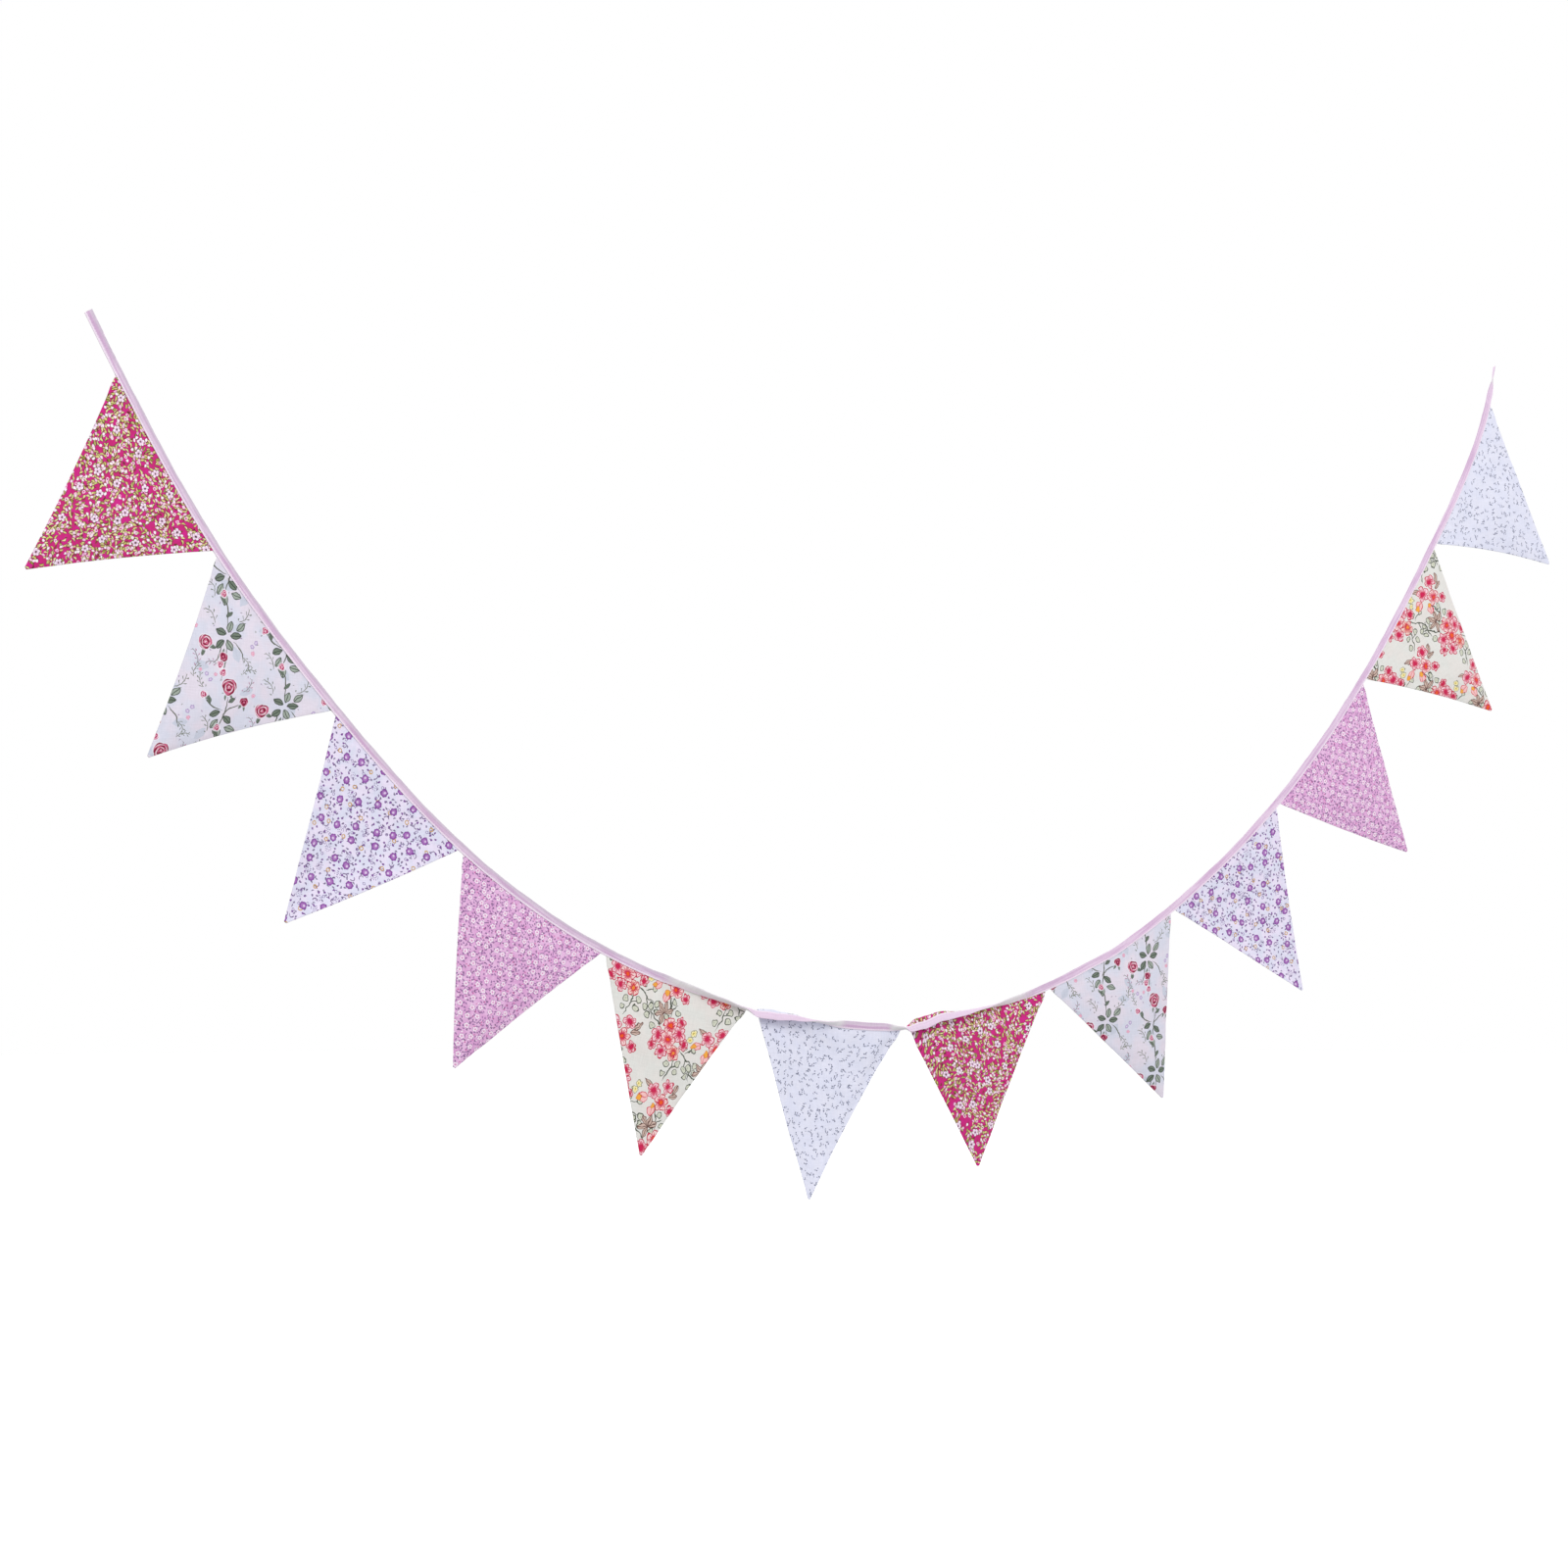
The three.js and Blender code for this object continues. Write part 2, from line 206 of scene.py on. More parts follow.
rings, around = off.shape
ring, spot = np.meshgrid(np.arange(rings - 1), np.arange(around), indexing="ij")
next_spot = (spot + 1) % around
tape_faces = np.stack([
    ring * around + spot, (ring + 1) * around + spot,
    (ring + 1) * around + next_spot, ring * around + next_spot,
], -1).reshape(-1, 4)


def end_faces(start):
    """Closes a cut end of the folded strip with a row of faces from the outside to the lining."""
    front = [start + i for i in range(outside_count)]
    lining = [start + around - 1 - i for i in range(around - outside_count)]
    picks = np.round(np.linspace(0, len(lining) - 1, outside_count)).astype(int)
    return [
        [front[i], front[i + 1], lining[picks[i + 1]], lining[picks[i]]]
        if picks[i] != picks[i + 1]
        else [front[i], front[i + 1], lining[picks[i]]]
        for i in range(outside_count - 1)
    ]


along_strip = np.concatenate([[0], np.cumsum(np.hypot(*np.diff(section, axis=0).T))])
strip_places = np.stack(np.broadcast_arrays(tape_lengths[:, None], along_strip), -1).reshape(-1, 2)
caps = end_faces(0) + [face[::-1] for face in end_faces((rings - 1) * around)]
tape_all_faces = tape_faces.tolist() + caps
tape = cloth_object(
    "binding_tape_cloth", tape_points.reshape(-1, 3), tape_all_faces,
    np.concatenate([strip_places[face] for face in tape_all_faces]),
)
# Painted shade: a share, from the roll, of where the tape's front faces down; the material paints it pale
# neutral grey.
roll = np.degrees(fold_at(tape_lengths)[0])
rolled_shade = smooth_share(roll, 18, 45) * (1 - smooth_share(roll, 95, 125))
rolled_shade_values = tape.data.attributes.new("rolled_shade", "FLOAT", "POINT").data
rolled_shade_values.foreach_set("value", np.repeat(rolled_shade, around))


def colour(code):
    """An sRGB hex colour as the linear values that a material takes."""
    parts = [int(code[i:i + 2], 16) / 255 for i in (0, 2, 4)]
    return [c / 12.92 if c <= 0.04045 else ((c + 0.055) / 1.055) ** 2.4 for c in parts] + [1.0]


def add(tree, kind, inputs=(), **settings):
    """Adds a node with its settings, and links its inputs or fills them in.
    A kind in capitals is an operation of the math node."""
    if kind.isupper():
        kind, settings = "ShaderNodeMath", {"operation": kind}
    node = tree.nodes.new(kind)
    for name, value in settings.items():
        setattr(node, name, value)
    for socket, value in inputs.items() if isinstance(inputs, dict) else enumerate(inputs):
        if isinstance(value, bpy.types.Node):
            value = next(output for output in value.outputs if output.enabled)
        if isinstance(value, bpy.types.NodeSocket):
            tree.links.new(value, node.inputs[socket])
        elif value is not None:
            node.inputs[socket].default_value = value
    return node


def new_group(name, inputs, outputs):
    """Starts a node group. What kind each socket is follows from its value."""
    tree = bpy.data.node_groups.new(name, "ShaderNodeTree")
    kinds = {1: "NodeSocketFloat", 3: "NodeSocketVector", 4: "NodeSocketColor"}
    for sockets, way in ((inputs, "INPUT"), (outputs, "OUTPUT")):
        for label, value in sockets.items():
            kind = kinds[np.size(value)]
            tree.interface.new_socket(label, in_out=way, socket_type=kind).default_value = value
    return tree, add(tree, "NodeGroupInput").outputs


VECTOR_MATH = "ShaderNodeVectorMath"
RANGE = "ShaderNodeMapRange"
MIX = "ShaderNodeMix"
SHARE, UNDER, OVER = 0, 6, 7  # the sockets of a mix of two colours
RGBA = {"data_type": "RGBA"}
ROTATE = "ShaderNodeVectorRotate"
SPLIT = "ShaderNodeSeparateXYZ"
SPLIT_COLOUR = "ShaderNodeSeparateColor"
NOISE = "ShaderNodeTexNoise"
GROUP = "ShaderNodeGroup"
NOWHERE = (0.0, 0.0, 0.0)
WHITE = (1.0, 1.0, 1.0, 1.0)


# Plain weave: the threads of the cotton. The real ones lie about 0.3 mm apart, too fine to show,
# so they are drawn 0.9 mm apart.
THREAD_SPACING = 0.9
weave, given = new_group("plain weave", {"Cloth": NOWHERE}, {"Height": 0.0, "Slub": 0.0})
counted = add(weave, VECTOR_MATH, {0: given["Cloth"], "Scale": 1 / THREAD_SPACING}, operation="SCALE")
over_under = add(weave, "ShaderNodeTexChecker", {"Vector": counted, "Scale": 1.0})
across_along = add(weave, SPLIT, [counted])
threads = []
for axis in ("X", "Y"):
    wave = add(weave, "MULTIPLY", [across_along.outputs[axis], np.pi])
    bend = add(weave, "SINE", [wave])
    threads.append(add(weave, "ABSOLUTE", [bend]))
crossing = add(weave, MIX, [over_under.outputs["Fac"], None, *threads], data_type="FLOAT")
slubs = []
for stretch in ((0.07, 0.8, 1.0), (0.8, 0.07, 1.0)):
    drawn = add(weave, VECTOR_MATH, [given["Cloth"], stretch], operation="MULTIPLY")
    slubs.append(add(weave, NOISE, {"Vector": drawn, "Scale": 1.0, "Detail": 2.0}, noise_dimensions="2D"))
slub_sum = add(weave, "ADD", [slubs[0], slubs[1]])
add(weave, "NodeGroupOutput", {"Height": crossing, "Slub": slub_sum})


def woven_cotton(material, cloth, dye_and_painted_light, relief=0.00012):
    """Finishes a cotton: thread relief, slubs and painted shade in the dips of the weave over its colour, a
    dull face and a soft bloom.
    """
    tree = material.node_tree
    threads = add(tree, GROUP, {"Cloth": cloth}, node_tree=weave)
    slub = add(tree, RANGE, [threads.outputs["Slub"], 0.7, 1.3, 0.96, 1.03])
    # Painted shade: the colour darkens where the threads dip, standing in for shade in the weave's hollows.
    hollow_shade = add(tree, RANGE, [threads.outputs["Height"], 0.0, 1.0, 0.93, 1.02])
    tone = add(tree, "MULTIPLY", [slub, hollow_shade])
    slubbed_and_shaded = add(tree, VECTOR_MATH, {0: dye_and_painted_light, "Scale": tone}, operation="SCALE")
    bump = add(tree, "ShaderNodeBump", {"Height": threads, "Strength": 0.5, "Distance": relief})
    face = tree.nodes["Principled BSDF"]
    face.inputs["Roughness"].default_value = 0.92
    face.inputs["Specular IOR Level"].default_value = 0.25
    face.inputs["Sheen Weight"].default_value = 0.12
    face.inputs["Sheen Roughness"].default_value = 0.5
    tree.links.new(slubbed_and_shaded.outputs[0], face.inputs["Base Color"])
    tree.links.new(bump.outputs[0], face.inputs["Normal"])


def start_cotton(name):
    """A new cotton and the flat place on it, in mm."""
    material = bpy.data.materials.new(name)
    material.use_nodes = True
    return material, add(material.node_tree, "ShaderNodeUVMap", uv_map="cloth")


# Bias binding is a light plain-weave cotton: it shows pink on its flat face, paler on its back and
# duller towards the left end. Painted on it are a brighter line at the lip, a painted highlight on
# the pressed edge; painted shade, greyer, where it turns over the fold, most towards the left end;
# and a pale neutral grey, painted shade, where its front is rolled under and faces down.
tape_cotton, tape_place = start_cotton("Pink cotton bias binding")
tree = tape_cotton.node_tree
strip = add(tree, SPLIT, [tape_place])
fold_place = along_strip[len(TAPE_OUTSIDE)]
from_fold = add(tree, "SUBTRACT", [strip.outputs["Y"], fold_place])
from_fold = add(tree, "ABSOLUTE", [from_fold])
# Painted shade: the face greys towards the fold, where the tape turns away from the light, most towards the
# left end.
fold_shade_reach = add(tree, RANGE, [from_fold, 4.2, 1.8, 0.0, 1.0])
greyer = add(tree, RANGE, [strip.outputs["X"], 900.0, 1500.0, 0.75, 0.15])
painted_fold_shade = add(tree, "MULTIPLY", [fold_shade_reach, greyer])
# Painted highlight: a brighter line along the lips, on the pressed edge.
lip_highlight = add(tree, RANGE, [from_fold, fold_place - 1.9, fold_place - 1.3, 0.0, 0.85])
creased = add(tree, VECTOR_MATH, [tape_place, (0.02, 0.42, 1.0)], operation="MULTIPLY")
faded = add(tree, NOISE, {"Vector": creased, "Scale": 1.0, "Detail": 2.0}, noise_dimensions="2D")
faded = add(tree, RANGE, [faded, 0.36, 0.62, 0.0, 1.0])
duller = add(tree, MIX, {SHARE: faded, UNDER: colour("c9a8c9"), OVER: colour("dcc6dc")}, **RGBA)
rosier = add(tree, MIX, {SHARE: faded, UNDER: colour("dab8da"), OVER: colour("ead2ea")}, **RGBA)
behind = add(tree, RANGE, [strip.outputs["Y"], fold_place - 0.4, fold_place + 0.4, 0.0, 0.8])
# Painted shade: the rolled-under front, which faces down, is painted pale neutral grey.
roll_shade_share = add(tree, "ShaderNodeAttribute", attribute_name="rolled_shade").outputs["Fac"]
in_front = add(tree, RANGE, [strip.outputs["Y"], fold_place - 0.4, fold_place + 0.4, 0.9, 0.0])
painted_roll_shade = add(tree, "MULTIPLY", [roll_shade_share, in_front])
# The tape's dye, with its painted shade and painted highlight mixed in.
tape_dye_and_painted_light = rosier
for share, tone in (
    (greyer, duller), (painted_fold_shade, colour("cbbfce")), (behind, colour("ecd6ec")),
    (painted_roll_shade, colour("f1eff1")), (lip_highlight, colour("f8eaf8")),
):
    tape_dye_and_painted_light = add(tree, MIX, {SHARE: share, UNDER: tape_dye_and_painted_light, OVER: tone}, **RGBA)
woven_cotton(tape_cotton, tape_place, tape_dye_and_painted_light)
tape.data.materials.append(tape_cotton)
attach(tape, "root")
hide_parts("binding_tape")

# Stitching: one row of pale pink machine stitches through both lips of the tape and the pennants,
# 1.6 mm above the lower edge. The thread shows on the front and on the back.
STITCH_PITCH = 3.0
STITCH_LENGTH = 2.5
THREAD_WIDTH = 0.6  # about twice the real thread, which would not show
STITCH_UP = 1.6
stitch_tree = bpy.data.node_groups.new("row of stitches", "GeometryNodeTree")
for label, way, kind in (
    ("Seam", "INPUT", "NodeSocketGeometry"), ("Pitch", "INPUT", "NodeSocketFloat"),
    ("Length", "INPUT", "NodeSocketFloat"), ("Thread", "INPUT", "NodeSocketFloat"),
    ("Material", "INPUT", "NodeSocketMaterial"), ("Stitches", "OUTPUT", "NodeSocketGeometry"),
):
    stitch_tree.interface.new_socket(label, in_out=way, socket_type=kind)
given = add(stitch_tree, "NodeGroupInput").outputs
spaced = add(
    stitch_tree, "GeometryNodeResampleCurve",
    {"Curve": given["Seam"], "Length": given["Pitch"]}, mode="LENGTH",
)
size = add(stitch_tree, "ShaderNodeCombineXYZ", [given["Length"], given["Thread"], given["Thread"]])
bead = add(stitch_tree, "GeometryNodeMeshUVSphere", {"Segments": 6, "Rings": 5, "Radius": 0.5})
upended = add(stitch_tree, "GeometryNodeTransform", {"Geometry": bead, "Rotation": (0, np.pi / 2, 0)})
tangent = add(stitch_tree, "GeometryNodeInputTangent")
along = add(stitch_tree, "FunctionNodeAlignRotationToVector", {"Vector": tangent}, axis="X")
sewn = add(
    stitch_tree, "GeometryNodeInstanceOnPoints",
    {"Points": spaced, "Instance": upended, "Rotation": along, "Scale": size},
)
real = add(stitch_tree, "GeometryNodeRealizeInstances", {"Geometry": sewn})
smooth = add(stitch_tree, "GeometryNodeSetShadeSmooth", {"Geometry": real})
coloured = add(stitch_tree, "GeometryNodeSetMaterial", {"Geometry": smooth, "Material": given["Material"]})
add(stitch_tree, "NodeGroupOutput", {"Stitches": coloured})

# Spun polyester sewing thread: pale pink with a slight gloss.
thread = bpy.data.materials.new("Pale pink sewing thread")
thread.use_nodes = True
tree = thread.node_tree
place = add(tree, "ShaderNodeTexCoord").outputs["Object"]
twist = add(tree, NOISE, {"Vector": place, "Scale": 900.0, "Detail": 1.0})
thread_tone = add(tree, MIX, {SHARE: twist, UNDER: colour("e3c8e2"), OVER: colour("f8ecf8")}, **RGBA)
thread_face = tree.nodes["Principled BSDF"]
thread_face.inputs["Roughness"].default_value = 0.55
thread_face.inputs["Sheen Weight"].default_value = 0.2
tree.links.new(thread_tone.outputs[2], thread_face.inputs["Base Color"])

seam_lengths = np.arange(3.0, TAPE_LENGTH - 2.0, 1.0)
seam_open = np.interp(seam_lengths, tape_lengths, held_open)
seam_off = 1.0 - TAPE_CLOSED * (1 - seam_open) + 0.05
seam = bpy.data.curves.new("seam", "CURVE")
seam.dimensions = "3D"
for side in (1, -1):
    seam_points = carried_point(seam_lengths, np.full_like(seam_lengths, -STITCH_UP), side * seam_off) * MM
    spline = seam.splines.new("POLY")
    spline.points.add(len(seam_points) - 1)
    spline.points.foreach_set("co", np.c_[seam_points, np.ones(len(seam_points))].ravel())
seam_line = bpy.data.objects.new("seam", seam)
bpy.context.scene.collection.objects.link(seam_line)
sewing = seam_line.modifiers.new("stitches", "NODES")
sewing.node_group = stitch_tree
socket_id = {item.name: item.identifier for item in stitch_tree.interface.items_tree}
sewing[socket_id["Pitch"]] = STITCH_PITCH * MM
sewing[socket_id["Length"]] = STITCH_LENGTH * MM
sewing[socket_id["Thread"]] = THREAD_WIDTH * MM
sewing[socket_id["Material"]] = thread
evaluated = seam_line.evaluated_get(bpy.context.evaluated_depsgraph_get())
stitches = bpy.data.objects.new("tape_stitches", bpy.data.meshes.new_from_object(evaluated))
bpy.context.scene.collection.objects.link(stitches)
seam_line.modifiers.remove(sewing)
bpy.data.objects.remove(seam_line)
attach(stitches, "root")

# Pennants: each is two three-cornered pieces of printed cotton, sewn face to face along the two
# sides, turned out and pressed, so the seam allowance lies inside as a low step along the sides.
# The raw top edge is tucked 5 mm into the tape's fold. Two pennants are cut from each print.
PENNANT_TUCK = 5.0
TIP_BLUNT = 0.985
TIP_ROUND = 1.8
SETTLE_DEPTH = 18.0
CLOTH_HALF = 0.36  # half the thickness of the two plies
ALLOWANCE_STEP = 0.16  # what the turned-in seam allowance adds to each side
ALLOWANCE_WIDTH = 6.0
EDGE_COLUMNS = np.array([0, 0.3, 0.8, 1.6, 3.0, 4.6, 5.6, 6.4, 8.0])
MIDDLE_COLUMNS = 56
NARROW = 12.0  # half width below which the edge columns close up
NEAR_TAPE = 30.0  # depth down to which the rows lie 1 mm apart
HANG_ROWS = 68
TIP_ROWS = np.array([3.2, 2.4, 1.7, 1.2, 0.8, 0.5, 0.25, 0.1, 0])  # mm above the point
BACK_CUT = 260.0  # how much further along the cloth the back ply is cut, in mm

# For each pennant from the left: turn about the tape in degrees, drop, how far each side edge bows,
# how far the point stands forward and the belly's depth in mm.
PENNANT_HANG = [
    (4, 170, -3, -2, 5, 4), (2, 170, -2, -4, -4, 6), (1, 176, -1, 2, 3, -4), (4, 176, 3, -2, -6, 5),
    (3, 174, 0, -1, 4, 3), (-3, 182, 0, -3, 6, -5), (-9, 162, 0, -2, -3, 4), (-1, 176, 0, -2, -5, 5),
    (-1, 182, -1, -1, 4, -3), (0, 180, 2, -1, -4, 4), (-3, 176, -3, 0, 3, 5), (-7, 172, -4, -1, -5, 3),
]


def pennant_point(number, across, depth):
    """The middle of a pennant's cloth, from a share across (-1 to 1) and a depth in mm."""
    lean, drop, bow_left, bow_right, swing, cup = PENNANT_HANG[number - 1]
    middle, half = middles[number - 1], PENNANT_BASE / 2
    left, right = tape_point(np.array([middle - half, middle + half]))
    along = (right - left) / np.linalg.norm(right - left)
    angle = np.arctan2(along[2], along[0]) + np.radians(lean)
    upward = np.array([-np.sin(angle), 0, np.cos(angle)])
    point = (left + right) / 2 - upward * drop
    share = np.clip(depth / drop, 0, 1)
    edge, length = middle + across * half, middle + across * half * (1 - share)
    turned = fold_at(length)[1]
    settled = smooth_share(depth, turned, turned + SETTLE_DEPTH)[..., None]
    bow = np.where(across < 0, bow_left, bow_right) * across * np.sin(np.pi * share)
    belly = 4 * cup * share * (1 - share) * (1 - across**2)
    edge_begin = fold_at(edge)[1]
    hung = carried_point(edge, edge_begin) + upward * edge_begin[..., None]
    hung = hung + (point - hung) * share[..., None] + along * bow[..., None]
    hung = hung + FORWARD * (swing * share**2 + belly)[..., None]
    carried = carried_point(length, depth)
    return carried + (hung - carried) * settled


def pennant_cloth(number, material, grain, cut):
    """Makes one pennant. Grain turns the print on it in degrees, and cut is where it was cut from."""
    lean, drop = PENNANT_HANG[number - 1][:2]
    end = TIP_BLUNT * drop
    depths = np.concatenate([
        np.arange(-PENNANT_TUCK, 0, 1.5), np.arange(0, NEAR_TAPE, 1.0),
        np.linspace(NEAR_TAPE, end - 4, HANG_ROWS), end - TIP_ROWS,
    ])
    half_width = PENNANT_BASE / 2 * (1 - np.clip(depths / drop, 0, 1))
    half_width *= np.sqrt(1 - 0.8 * np.clip(1 - (end - depths) / TIP_ROUND, 0, 1) ** 2)
    close_up = np.minimum(1, half_width / NARROW)
    sides = -half_width[:, None] + EDGE_COLUMNS * close_up[:, None]
    inner = np.linspace(sides[:, -1], -sides[:, -1], MIDDLE_COLUMNS + 1, axis=1)[:, 1:-1]
    x = np.concatenate([sides, inner, -sides[:, ::-1]], 1)
    depth = np.broadcast_to(depths[:, None], x.shape)
    middle = pennant_point(number, x / half_width[:, None], depth)
    down = np.gradient(middle, axis=0)
    right = np.gradient(middle, axis=1)
    normal = np.cross(down, right)
    normal /= np.maximum(np.linalg.norm(normal, axis=2, keepdims=True), 1e-9)

    slant = drop / np.hypot(drop, PENNANT_BASE / 2)
    from_side = (half_width[:, None] - np.abs(x)) * slant
    rim = np.minimum(np.minimum(from_side, end - depth), depth + PENNANT_TUCK)
    free = smooth_share(depth, 4, 30)
    seam_run = depth * np.sign(x) + 500
    near_seam = np.exp(-((from_side - 3) / 3.5) ** 2)
    near_seam = near_seam * smooth_share(depth, 8, 25) * smooth_share(np.abs(x), 1, 9)
    lift = near_seam * wavering(seam_run, 40 + number, [(8, 0.05), (13, 0.07), (29, 0.14)])
    slack = free * (0.35 + 0.65 * smooth_share(from_side, 0, 25))
    lift = lift + slack * wavering(x * 0.8 + depth * 0.35, 60 + number, [(62, 0.45), (95, 0.6)])
    lift = lift + slack * wavering(depth - x * 0.3, 80 + number, [(48, 0.3), (83, 0.5)])
    gathers = smooth_share(depth, 0.5, 5) * (1 - smooth_share(depth, 8, 26))
    lift = lift + gathers * wavering(x, 100 + number, [(11, 0.12), (17, 0.16), (27, 0.12)])
    past_allowance = smooth_share(from_side, ALLOWANCE_WIDTH - 0.8, ALLOWANCE_WIDTH + 0.8)
    half = CLOTH_HALF + ALLOWANCE_STEP * (1 - past_allowance)
    half = half + 0.35 * np.exp(-((end - depth) / 6) ** 2)
    half = half * np.sqrt(1 - (1 - np.clip(rim / 0.8, 0, 1)) ** 2)

    front = middle + normal * (lift + half)[..., None]
    back = middle + normal * (lift - half)[..., None]
    rows, columns = x.shape
    front_index = np.arange(rows * columns).reshape(rows, columns)
    back_index = front_index.copy()
    inner_shape = (rows - 2, columns - 2)
    back_index[1:-1, 1:-1] = rows * columns + np.arange(np.prod(inner_shape)).reshape(inner_shape)
    points = np.concatenate([front.reshape(-1, 3), back[1:-1, 1:-1].reshape(-1, 3)])

    def quads(index):
        return np.stack([index[:-1, :-1], index[1:, :-1], index[1:, 1:], index[:-1, 1:]], -1).reshape(-1, 4)

    turn, lean = np.radians((grain, lean))
    grain_turn = np.array([[np.cos(turn), np.sin(turn)], [-np.sin(turn), np.cos(turn)]])
    faces, places = [], []
    for index, side, shift in ((front_index, 1, 0), (back_index, -1, BACK_CUT)):
        flat = np.stack([side * (x + depth * np.sin(lean)), -depth * np.cos(lean)], -1)
        flat = flat @ grain_turn + np.array(cut) + shift
        order = np.arange(4)[::side]
        faces.append(quads(index)[:, order])
        places.append(flat.reshape(-1, 2)[quads(front_index)[:, order]].reshape(-1, 2))
    piece = cloth_object(
        f"pennant_{number:02d}_cloth", points, np.concatenate(faces).tolist(), np.concatenate(places)
    )
    piece.data.materials.append(material)
    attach(piece, "root")
    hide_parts(f"pennant_{number:02d}")
    return piece


# The prints are small flowers and leaves in flat inks, tossed over the ground or set out in sprays.
# An ink runs into the cloth over its edge, in mm.
SOFT_EDGE = 0.15
FINE_EDGE = 0.12

# A tossed motif: which one is nearest, the place in it in mm, turned at random, and its luck.
tossed, given = new_group(
    "tossed motif",
    {"Cloth": NOWHERE, "Pitch": 10.0, "Jitter": 0.7, "Slide": NOWHERE, "Grid": 0.0},
    {"Local": NOWHERE, "Luck": WHITE},
)
turned = add(tossed, ROTATE, {"Vector": given["Cloth"], "Angle": given["Grid"]}, rotation_type="Z_AXIS")
slid = add(tossed, VECTOR_MATH, [turned, given["Slide"]], operation="ADD")
density = add(tossed, "DIVIDE", [1.0, given["Pitch"]])
cells = add(
    tossed, "ShaderNodeTexVoronoi",
    {"Vector": slid, "Scale": density, "Randomness": given["Jitter"]}, voronoi_dimensions="2D",
)
local = add(tossed, VECTOR_MATH, [slid, cells.outputs["Position"]], operation="SUBTRACT")
luck = add(tossed, SPLIT_COLOUR, [cells.outputs["Color"]])
angle = add(tossed, "MULTIPLY", [luck.outputs["Red"], 2 * np.pi])
facing = add(tossed, ROTATE, {"Vector": local, "Angle": angle}, rotation_type="Z_AXIS")
add(tossed, "NodeGroupOutput", {"Local": facing, "Luck": cells.outputs["Color"]})

# A charted motif: it comes once in each repeat, at its own place and turn. A trace of the colour
# under it is added to its place, far too small to show, so that the motifs are worked one by one.
TRACE = (1e-9, 1e-9, 1e-9)
charted, given = new_group(
    "charted motif",
    {"Under": WHITE, "Cloth": NOWHERE, "Place": NOWHERE, "Turn": 0.0, "Repeat": 90.0}, {"Local": NOWHERE},
)
half_repeat = add(charted, "MULTIPLY", [given["Repeat"], 0.5])
minus_half = add(charted, "MULTIPLY", [half_repeat, -1.0])
far_corner = add(charted, "ShaderNodeCombineXYZ", [half_repeat, half_repeat, half_repeat])
near_corner = add(charted, "ShaderNodeCombineXYZ", [minus_half, minus_half, minus_half])
traced = add(charted, VECTOR_MATH, [given["Under"], TRACE, given["Cloth"]], operation="MULTIPLY_ADD")
away = add(charted, VECTOR_MATH, [traced, given["Place"]], operation="SUBTRACT")
wrapped = add(charted, VECTOR_MATH, [away, far_corner, near_corner], operation="WRAP")
back_turn = add(charted, "MULTIPLY", [given["Turn"], -1.0])
straightened = add(charted, ROTATE, {"Vector": wrapped, "Angle": back_turn}, rotation_type="Z_AXIS")
add(charted, "NodeGroupOutput", {"Local": straightened})

# A flower of rounded petals, with a heart, a blush round it, streaks and an outline.
flower, given = new_group(
    "petalled flower",
    {
        "Under": WHITE, "Local": NOWHERE, "Radius": 4.0, "Petals": 5.0, "Notch": 0.3, "Petal": WHITE,
        "Blush": WHITE, "Blush reach": 0.5, "Streak": 0.0, "Heart": WHITE, "Heart reach": 0.25,
        "Heart shift": NOWHERE, "Line": WHITE, "Line width": 0.4, "Show": 1.0,
    },
    {"Colour": WHITE},
)
local = add(flower, SPLIT, [given["Local"]])
angle = add(flower, "ARCTAN2", [local.outputs["Y"], local.outputs["X"]])
half_petals = add(flower, "MULTIPLY", [given["Petals"], 0.5])
petal_angle = add(flower, "MULTIPLY", [angle, half_petals])
swell = add(flower, "COSINE", [petal_angle])
swell = add(flower, "ABSOLUTE", [swell])
swell = add(flower, "POWER", [swell, 0.6])
swell = add(flower, "SUBTRACT", [swell, 1.0])
reach = add(flower, "MULTIPLY_ADD", [swell, given["Notch"], 1.0])
reach = add(flower, "MULTIPLY", [reach, given["Radius"]])
distance = add(flower, VECTOR_MATH, [given["Local"]], operation="LENGTH").outputs["Value"]
beyond = add(flower, "SUBTRACT", [distance, reach])
inside = add(flower, RANGE, [beyond, SOFT_EDGE, -SOFT_EDGE, 0.0, given["Show"]])
past_line = add(flower, "SUBTRACT", [beyond, given["Line width"]])
outlined = add(flower, RANGE, [past_line, SOFT_EDGE, -SOFT_EDGE, 0.0, given["Show"]])
share = add(flower, "DIVIDE", [distance, given["Radius"]])
blush_end = add(flower, "ADD", [given["Blush reach"], 0.35])
blushed = add(flower, RANGE, [share, given["Blush reach"], blush_end, 1.0, 0.0])
streak_angle = add(flower, "MULTIPLY", [petal_angle, 3.0])
side = add(flower, "SINE", [streak_angle])
side = add(flower, "ABSOLUTE", [side])
streak_off = add(flower, "MULTIPLY", [side, distance])
streak_off = add(flower, "MULTIPLY", [streak_off, 0.13])
streak = add(flower, RANGE, [streak_off, 0.4, 0.22, 0.0, given["Streak"]])
streak_in = add(flower, RANGE, [share, 0.72, 0.92, 1.0, 0.0])
streaked = add(flower, "MULTIPLY", [streak, streak_in])
heart_off = add(flower, VECTOR_MATH, [given["Local"], given["Heart shift"]], operation="DISTANCE")
heart_edge = add(flower, "MULTIPLY", [given["Heart reach"], given["Radius"]])
heart_past = add(flower, "SUBTRACT", [heart_off.outputs["Value"], heart_edge])
hearted = add(flower, RANGE, [heart_past, 0.2, -0.2, 0.0, 1.0])
petal_ink = given["Petal"]
for share, ink in ((blushed, "Blush"), (streaked, "Line"), (hearted, "Heart")):
    petal_ink = add(flower, MIX, {SHARE: share, UNDER: petal_ink, OVER: given[ink]}, **RGBA)
